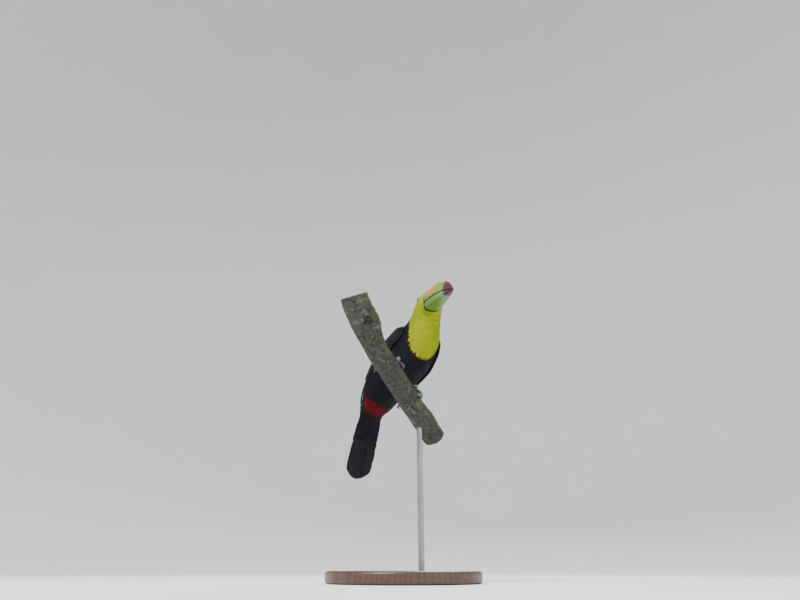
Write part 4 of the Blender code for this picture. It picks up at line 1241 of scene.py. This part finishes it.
def make_eyes():
    for side, label in ((1, "left"), (-1, "right")):
        centre, out = eye_place(side)
        ref = unit(np.cross(out, (0, 0, 1.0)))
        other = np.cross(out, ref)
        lat = np.linspace(0, np.pi, 60)[1:-1]
        lon = np.linspace(0, 2 * np.pi, 64, endpoint=False)
        cornea = 1 + 0.035 * np.exp(-((lat / 0.55) ** 2))
        r = EYE_RADIUS / MM * cornea
        ring = (
            centre
            + out * (np.cos(lat) * r)[:, None, None]
            + (ref * np.cos(lon)[:, None] + other * np.sin(lon)[:, None])[None] * (np.sin(lat) * r)[:, None, None]
        )
        obj = grid_body("eye_ball_" + label, to_world(ring))
        attribute(obj, "along", np.concatenate([np.repeat(lat, 64), [0.0, np.pi]]))
        attribute(obj, "across", np.concatenate([np.tile(np.abs(lon / np.pi - 1) * 6, 58), [0.0, 0.0]]))
        finish_piece(obj, eye_material(), "eye", "eye_" + label)


# ---------------------------------------------------------------- feet


def tube(path, radii, sides=22, flat=1.0, up=None, saw_step=None):
    """Rings round a path, with a radius at each point."""
    along = unit(np.gradient(path, axis=0))
    up = np.array((0, 0, 1.0)) if up is None else up
    side = unit(np.cross(along, up))
    top = np.cross(side, along)
    a = np.linspace(0, 2 * np.pi, sides, endpoint=False)
    radius = radii[:, None] * np.ones(sides)
    if saw_step is not None:
        radius = radius + saw_step[:, None] * np.clip(np.sin(a), 0, 1)[None, :] ** 0.5
    return path[:, None] + side[:, None] * (np.cos(a) * radius)[..., None] + top[:, None] * (np.sin(a) * radius * flat)[..., None]


def toe_path(frame_at, direction, length, radius, drift, t):
    axis, ball, front, down = frame_at
    reach = BARK + radius + TOE_GAP
    run = mix(-0.8 * radius, length, t)
    angle = (run / reach)[:, None]
    across = down * (drift * TOE_SPLAY * smooth(run / length) ** 0.8)[:, None]
    out = ball * np.cos(angle) + front * direction * np.sin(angle)
    return axis + across + out * reach, out


def make_feet():
    skin_mat, horn = foot_material(), horn_material()
    for side, label in ((1, "left"), (-1, "right")):
        frame_at = foot_frame(side)
        axis, ball, front, down = frame_at
        table, _ = leg_points(side)
        ankle = table[3]
        sole = axis + ball * (BARK + TOES[0][3] + TOE_GAP + 0.6)
        t = np.linspace(-0.18, 1, 60)
        path = ankle + (sole - ankle) * t[:, None]
        plates = (t * 7) % 1.0
        radii = np.interp(t, (0, 0.25, 0.55, 0.85, 1), TARSUS_RADIUS * np.array((1.32, 1.08, 0.98, 1.04, 1.12)))
        parts = [grid_body("tarsus", to_world(tube(path, radii, 30, up=front, saw_step=(1 - plates) ** 2 * 0.32)))]
        for name, direction, length, radius, drift in TOES:
            t = np.linspace(0, 1, 90)
            path, out = toe_path(frame_at, direction, length, radius, side * drift, t)
            pads = 0.09 * np.cos(t * 2 * np.pi * 2.5)
            radii = radius * mix(1.05, 0.72, t) * (1 - pads * 0.6)
            radii = radii * np.sqrt(np.clip((1 - t) / 0.05, 0.1, 1))
            plates = (t * length / 2.1) % 1.0
            parts.append(grid_body("toe", to_world(tube(path, radii, 26, up=out, saw_step=(1 - plates) ** 2 * 0.30 * (t > 0.1)))))
            claw(label, name, frame_at, direction, length, radius, side * drift, horn)
        bpy.ops.object.select_all(action="DESELECT")
        for part in parts:
            part.select_set(True)
        foot = parts[0]
        bpy.context.view_layer.objects.active = foot
        bpy.ops.object.join()
        foot.name = foot.data.name = "foot_skin_" + label
        remesh = foot.modifiers.new("one_surface", "REMESH")
        remesh.mode, remesh.voxel_size = "VOXEL", 0.42 * MM
        bpy.ops.object.modifier_apply(modifier=remesh.name)
        foot.data.shade_smooth()
        attribute(foot, "seam", foot_seams(foot, side, frame_at))
        finish_piece(foot, skin_mat, "blue_skin", "foot_" + label)


def foot_seams(foot, side, frame_at):
    """Dark joints between the plates on top of the toes."""
    co = np.zeros(len(foot.data.vertices) * 3)
    foot.data.vertices.foreach_get("co", co)
    points = bird_space(co.reshape(-1, 3))
    best, seam = np.full(len(points), 99.0), np.zeros(len(points))
    for _, direction, length, radius, drift in TOES:
        t = np.linspace(0, 1, 160)
        path, _ = toe_path(frame_at, direction, length, radius, side * drift, t)
        gap = np.linalg.norm(points[:, None] - path[None], axis=-1)
        near = gap.argmin(axis=1)
        gap = gap.min(axis=1)
        plates = (t[near] * length / 2.1) % 1.0
        line = np.clip(1 - np.minimum(plates, 1 - plates) / 0.16, 0, 1)
        better = gap < best
        best, seam = np.where(better, gap, best), np.where(better, line, seam)
    return np.where(best < 6, seam, 0)


def claw(foot, toe, frame_at, direction, length, radius, drift, mat):
    axis, ball, front, down = frame_at
    reach = BARK + radius + TOE_GAP
    turned = (length + 0.72) / reach
    end_radius = CLAW_RADIUS * radius / TOES[1][3]
    t = np.linspace(-0.10, 1, 44)
    angle = (turned + t * CLAW_LENGTH / reach)[:, None]
    s = np.clip(t, 0, 1)
    rise = 1.6 * np.sin(np.pi * np.minimum(1.0, s * 1.25)) - (radius - 0.8) * s**2.2
    out = ball * np.cos(angle) + front * direction * np.sin(angle)
    path = axis + down * (drift * TOE_SPLAY * (1 + 0.08 * t))[:, None] + out * (reach + rise)[:, None]
    radii = mix(end_radius, 0.30, s**0.9) * np.where(t < 0, 0.86, 1)
    obj = grid_body(f"claw_horn_{foot}_{toe}", to_world(tube(path, radii, 20, flat=1.12, up=out)))
    attribute(obj, "along", np.concatenate([np.repeat(s, 20), [0.0, 1.0]]))
    finish_piece(obj, mat, "claw_horn", f"claw_{foot}_{toe}")


# ---------------------------------------------------------------- branch


def lattice(points, scale, seed):
    """Smooth value noise in 0..1 at points, from a seeded lattice."""
    p = points * scale
    i = np.floor(p).astype(np.int64)
    f = p - i
    f = f * f * (3 - 2 * f)
    total = 0
    for dx in (0, 1):
        for dy in (0, 1):
            for dz in (0, 1):
                h = (i[..., 0] + dx) * 73856093 ^ (i[..., 1] + dy) * 19349663 ^ (i[..., 2] + dz) * 83492791 ^ seed * 2654435
                h = (h ^ (h >> 13)) * 1274126177 & 0xFFFFFFFF
                value = ((h ^ (h >> 16)) & 0xFFFF) / 65535.0
                w = np.where(dx, f[..., 0], 1 - f[..., 0]) * np.where(dy, f[..., 1], 1 - f[..., 1]) * np.where(dz, f[..., 2], 1 - f[..., 2])
                total = total + value * w
    return total


def branch_radius(run, angle):
    beyond = smooth((np.abs(run) - GRIP_ZONE * 0.9) / (30 * MM))
    lumps = 0.45 * np.sin(3 * angle + run * 70) + 0.3 * np.sin(5 * angle - run * 110 + 1.3)
    knot = np.exp(-(((run - KNOT_RUN) / KNOT_LENGTH) ** 2)) * np.maximum(0.0, np.cos(angle - KNOT_ANGLE)) ** 1.2
    flare = BRANCH_FLARE * smooth((-run - 60 * MM) / (100 * MM))
    return BRANCH_RADIUS * (1 + flare) + beyond * (BRANCH_SWELL * 0.42 * lumps + KNOT_HEIGHT * knot)


def make_branch():
    rows, sides = 330, 216
    across, over = branch_frame()
    run = np.linspace(-BRANCH_ABOVE, BRANCH_BELOW, rows)
    centre = branch_axis(run)
    along = unit(branch_axis(run + 1 * MM) - branch_axis(run - 1 * MM))
    side = unit(across - along * (along @ across)[:, None])
    top = np.cross(side, along)
    angle = np.linspace(0, 2 * np.pi, sides, endpoint=False)
    radius = branch_radius(run[:, None], angle[None, :])
    out = side[:, None] * np.cos(angle)[None, :, None] + top[:, None] * np.sin(angle)[None, :, None]
    flat = np.stack(np.broadcast_arrays(run[:, None], np.cos(angle)[None] * BRANCH_RADIUS, np.sin(angle)[None] * BRANCH_RADIUS), -1)
    warp = lattice(flat, 70, 5) * 0.012
    stretched = flat * (0.30, 1, 1) + warp[..., None]
    cell = np.abs(lattice(stretched, 420, 1) - 0.5) * 2
    fissure = np.clip(1 - cell / 0.20, 0, 1) ** 1.3 * smooth((lattice(flat, 60, 3) - 0.28) / 0.25)
    cross = np.clip(1 - np.abs(lattice(flat * (1.6, 0.6, 0.6), 260, 7) - 0.5) / 0.07, 0, 1) * 0.5
    rough = lattice(flat, 900, 9) * 0.6 + lattice(flat, 1700, 11) * 0.4
    scaly = lattice(flat * (0.7, 1, 1), 210, 13)
    lichen = smooth((lattice(flat, 95, 21) * 0.65 + lattice(flat, 420, 22) * 0.35 - 0.67) / 0.05)
    upper_right = np.exp(-(((angle - MOSS_ANGLE + np.pi) % (2 * np.pi) - np.pi) / 0.75) ** 2)[None, :]
    lower_end = 0.16 * smooth((run + 20 * MM) / (120 * MM))[:, None]
    moss = smooth((lattice(flat, 80, 31) * 0.6 + lattice(flat, 300, 32) * 0.4 + 0.22 * upper_right + lower_end - 0.70) / 0.16)
    held = 1 - smooth((np.abs(run) - GRIP_ZONE * 1.15) / (18 * MM))[:, None]
    relief = -1.7 * fissure - 0.7 * cross * (1 - fissure) + 0.7 * (rough - 0.6) + 0.9 * (scaly - 0.55) + 0.25 * lichen + 0.35 * moss
    relief = np.minimum(relief, mix(1.0, 0.30, held)) - 0.15
    away = (angle[None] - KNOT_EYE[1] + np.pi) % (2 * np.pi) - np.pi
    eye = np.hypot((run[:, None] - KNOT_EYE[0]) / MM, away * BRANCH_RADIUS / MM * 1.15)
    eye = eye * (1 + 0.22 * (lattice(flat, 150, 41) - 0.5))
    folds = np.exp(-(((eye - 13) / 6) ** 2)) * np.cos(eye * 1.7 + 1.5 * lattice(flat, 120, 43)) * 0.45
    scar = 1 - smooth((eye - 4.5) / 3.5)
    relief = relief + np.exp(-(((eye - 8.5) / 2.4) ** 2)) * 0.9 + folds - 2.6 * scar
    shade = np.clip(scar + 0.35 * np.exp(-(((eye - 7) / 4) ** 2)), 0, 1)
    end = np.minimum(run - run[0], run[-1] - run) / MM
    shrink = np.sqrt(np.clip(end / 1.2, 0.0, 1))[:, None] * 0.8 - 0.8
    rings = centre[:, None] + out * (radius + (relief + shrink) * MM)[..., None]
    caps, cap_ring = [], []
    for k in (0, -1):
        steps = np.linspace(1, 0, 26)[1:-1]
        sunk = np.stack([mix(centre[k], rings[k], f) for f in steps])
        check = np.clip(1 - np.abs(((angle * 1.0 + 0.6 * k) % (2 * np.pi / 5)) - 0.5) / 0.035, 0, 1)[None, :] * ((steps > 0.25) * (steps < 0.9) * 0.7)[:, None]
        tooth = lattice(sunk, 1300, 15) * 0.35 + check
        sunk = sunk + (along[k] * (1 if k == 0 else -1) * MM) * tooth[..., None]
        caps.append(sunk)
        cap_ring.append(steps)
    rings = np.concatenate([caps[0][::-1], rings, caps[1]])
    obj = grid_body("perch_bark", rings)
    zero = np.zeros((len(cap_ring[0]), sides))

    def whole(values, at_end=None):
        ends = zero if at_end is None else at_end
        return np.concatenate([ends[::-1].ravel(), np.broadcast_to(values, (rows, sides)).ravel(), ends.ravel(), [ends[-1, 0]] * 2])

    # Painted shade mask for the fissures, the cross cracks and the sunken knot.
    attribute(obj, "crevice_shade", whole(np.clip(fissure + 0.4 * cross + shade, 0, 1)))
    attribute(obj, "lichen", whole(lichen * (1 - fissure)))
    attribute(obj, "moss", whole(moss * (1 - 0.5 * fissure)))
    attribute(obj, "cut", whole(np.zeros((rows, sides)), zero + 1))
    attribute(obj, "ring", whole(np.ones((rows, sides)), np.repeat(cap_ring[0][:, None], sides, 1)))
    finish_piece(obj, bark_material(), "bark", "perch_branch")
    moss_tufts(run, angle, moss * (1 - held * 0.75), rings[24:-24], out)


def moss_tufts(run, angle, moss, rings, out):
    """Short curled leaves of moss where the bark is mossy."""
    weight = np.clip(moss - 0.35, 0, 1).ravel()
    count = 2600
    pick = RNG.choice(len(weight), count, p=weight / weight.sum())
    base = rings.reshape(-1, 3)[pick] + RNG.normal(0, 0.5 * MM, (count, 3))
    normal = out.reshape(-1, 3)[pick]
    lean = unit(normal + RNG.normal(0, 0.55, (count, 3)))
    side = unit(np.cross(lean, RNG.normal(0, 1, (count, 3))))
    length = RNG.uniform(0.8, 1.9, count)[:, None] * MM
    wide = length * 0.22
    thick = unit(np.cross(lean, side)) * 0.10 * MM
    base = base - normal * 0.5 * MM
    mid = base + lean * length * 0.55
    tip = base + lean * length + normal * RNG.uniform(-0.2, 0.3, (count, 1)) * MM
    points = np.stack([base - side * wide * 0.5, base + side * wide * 0.5, base + thick, mid - side * wide, mid + side * wide, mid + thick * 1.4, tip], axis=1)
    tris = np.array([(0, 1, 2), (0, 3, 4), (0, 4, 1), (1, 4, 5), (1, 5, 2), (2, 5, 3), (2, 3, 0), (3, 6, 4), (4, 6, 5), (5, 6, 3)])
    tris = (tris[None, :, ::-1] + (np.arange(count) * 7)[:, None, None]).reshape(-1, 3)
    obj = closed(array_object("perch_moss", points.reshape(-1, 3), np.zeros((0, 4), int), tris))
    attribute(obj, "tone", np.repeat(RNG.random(count), 7))
    finish_piece(obj, moss_material(), "bark")


MOSS_ANGLE = math.radians(20)


# ---------------------------------------------------------------- stage, light and camera


def make_stage():
    """A pale floor that curves up into a pale wall on every side."""
    bend = np.linspace(0.03, np.pi / 2, 26)
    radius = np.concatenate([np.linspace(0.02, 2.0, 24), 2.0 + 2.2 * np.sin(bend), np.full(14, 4.2)])
    height = np.concatenate([np.zeros(24), 2.2 * (1 - np.cos(bend)), 2.2 + np.linspace(0.1, 7.0, 14)])
    a = np.linspace(0, 2 * np.pi, 96, endpoint=False)
    wall = np.broadcast_to(height[:, None] - 0.0005, (len(radius), 96))
    rings = np.stack([radius[:, None] * np.cos(a), radius[:, None] * np.sin(a), wall], -1)
    at = np.arange(rings[..., 0].size).reshape(-1, 96)
    nxt = np.roll(at, -1, axis=1)
    quads = np.stack([at[:-1], nxt[:-1], nxt[1:], at[1:]], -1).reshape(-1, 4)
    tris = np.stack([nxt[0], at[0], np.full(96, at.size)], -1)
    floor = array_object("floor", np.concatenate([rings.reshape(-1, 3), [[0, 0, -0.0005]]]), quads, tris)
    floor.data.flip_normals()
    floor.data.materials.append(floor_material())


def area_light(name, spot, target, size, power, colour=(1, 1, 1)):
    data = bpy.data.lights.new(name, "AREA")
    data.shape, data.size, data.energy, data.color = "DISK", size, power, colour
    lamp = bpy.data.objects.new(name, data)
    bpy.context.scene.collection.objects.link(lamp)
    lamp.location = spot
    lamp.rotation_euler = (Vector(target) - Vector(spot)).to_track_quat("-Z", "Y").to_euler()


def light_and_camera():
    middle = Vector((0, -0.02, 0.30))
    area_light("key", (-1.0, -1.15, 2.0), middle, 0.8, 84, (1.0, 0.98, 0.95))
    area_light("fill", (1.5, -1.1, 0.8), middle, 1.3, 12, (0.95, 0.98, 1.0))
    area_light("rim", (0.6, 1.6, 1.8), middle, 0.9, 40)
    world = bpy.data.worlds.new("studio")
    bpy.context.scene.world = world
    world.use_nodes = True
    sky = world.node_tree.nodes["Background"]
    sky.inputs[0].default_value = (0.93, 0.96, 1.0, 1)
    sky.inputs[1].default_value = 0.85

    # The eye is 1 m from the grip, a little above the floor, and looks up as the photograph does.
    grip = Vector(GRIP)
    rise = math.asin((grip.z - 0.02) / 1.0)
    spot = Vector((grip.x, grip.y - math.cos(rise), 0.02))
    focal_px = 560.0
    below, right = 381 - 300, 396.5 - 400
    pitch = rise + math.atan(below / focal_px)
    yaw = -math.atan(right / math.hypot(focal_px, below))
    data = bpy.data.cameras.new("camera")
    data.sensor_width = 36.0
    data.lens = focal_px * 36.0 / 800
    data.clip_start = 0.01
    data.clip_end = 30
    camera = bpy.data.objects.new("camera", data)
    bpy.context.scene.collection.objects.link(camera)
    camera.location = spot
    forward = Vector((math.sin(yaw) * math.cos(pitch), math.cos(yaw) * math.cos(pitch), math.sin(pitch)))
    camera.rotation_euler = forward.to_track_quat("-Z", "Y").to_euler()
    bpy.context.scene.camera = camera


# ---------------------------------------------------------------- assembly


def main():
    mats = {
        "black": feather_material("plumage_black", (0.0015, 0.0018, 0.0040), (0.0042, 0.0052, 0.0120), 0.48, 0.0, shine=0.20),
        "nape": feather_material("plumage_nape", (0.012, 0.004, 0.004), (0.028, 0.008, 0.008), 0.5, 0.03),
        "bib": feather_material("plumage_yellow", (0.33, 0.39, 0.003), (0.51, 0.58, 0.010), 0.65, 0.0, shine=0.12),
        # A real crimson, darkened as painted shade.
        "red": feather_material("plumage_red_shaded", (0.085, 0.001, 0.006), (0.17, 0.003, 0.008), 0.6, 0.0, shine=0.15),
        "rump": feather_material("plumage_white", (0.60, 0.58, 0.48), (0.80, 0.79, 0.72), 0.65, 0.1),
        # The flight feathers carry the painted edge highlight at full strength.
        "flight": feather_material("flight_black", (0.0014, 0.0017, 0.0032), (0.0045, 0.0054, 0.0105), 0.46, 0.0, barbs=120, edge=1.0, shine=0.2),
    }
    make_skin()
    make_coat(mats)
    make_wings(mats)
    make_tail(mats)
    make_bill()
    make_eyes()
    make_feet()
    make_branch()
    NODES["stand_base"].material_slots[0].material = wood_material()
    NODES["stand_rod"].material_slots[0].material = steel_material()
    make_stage()
    light_and_camera()


main()
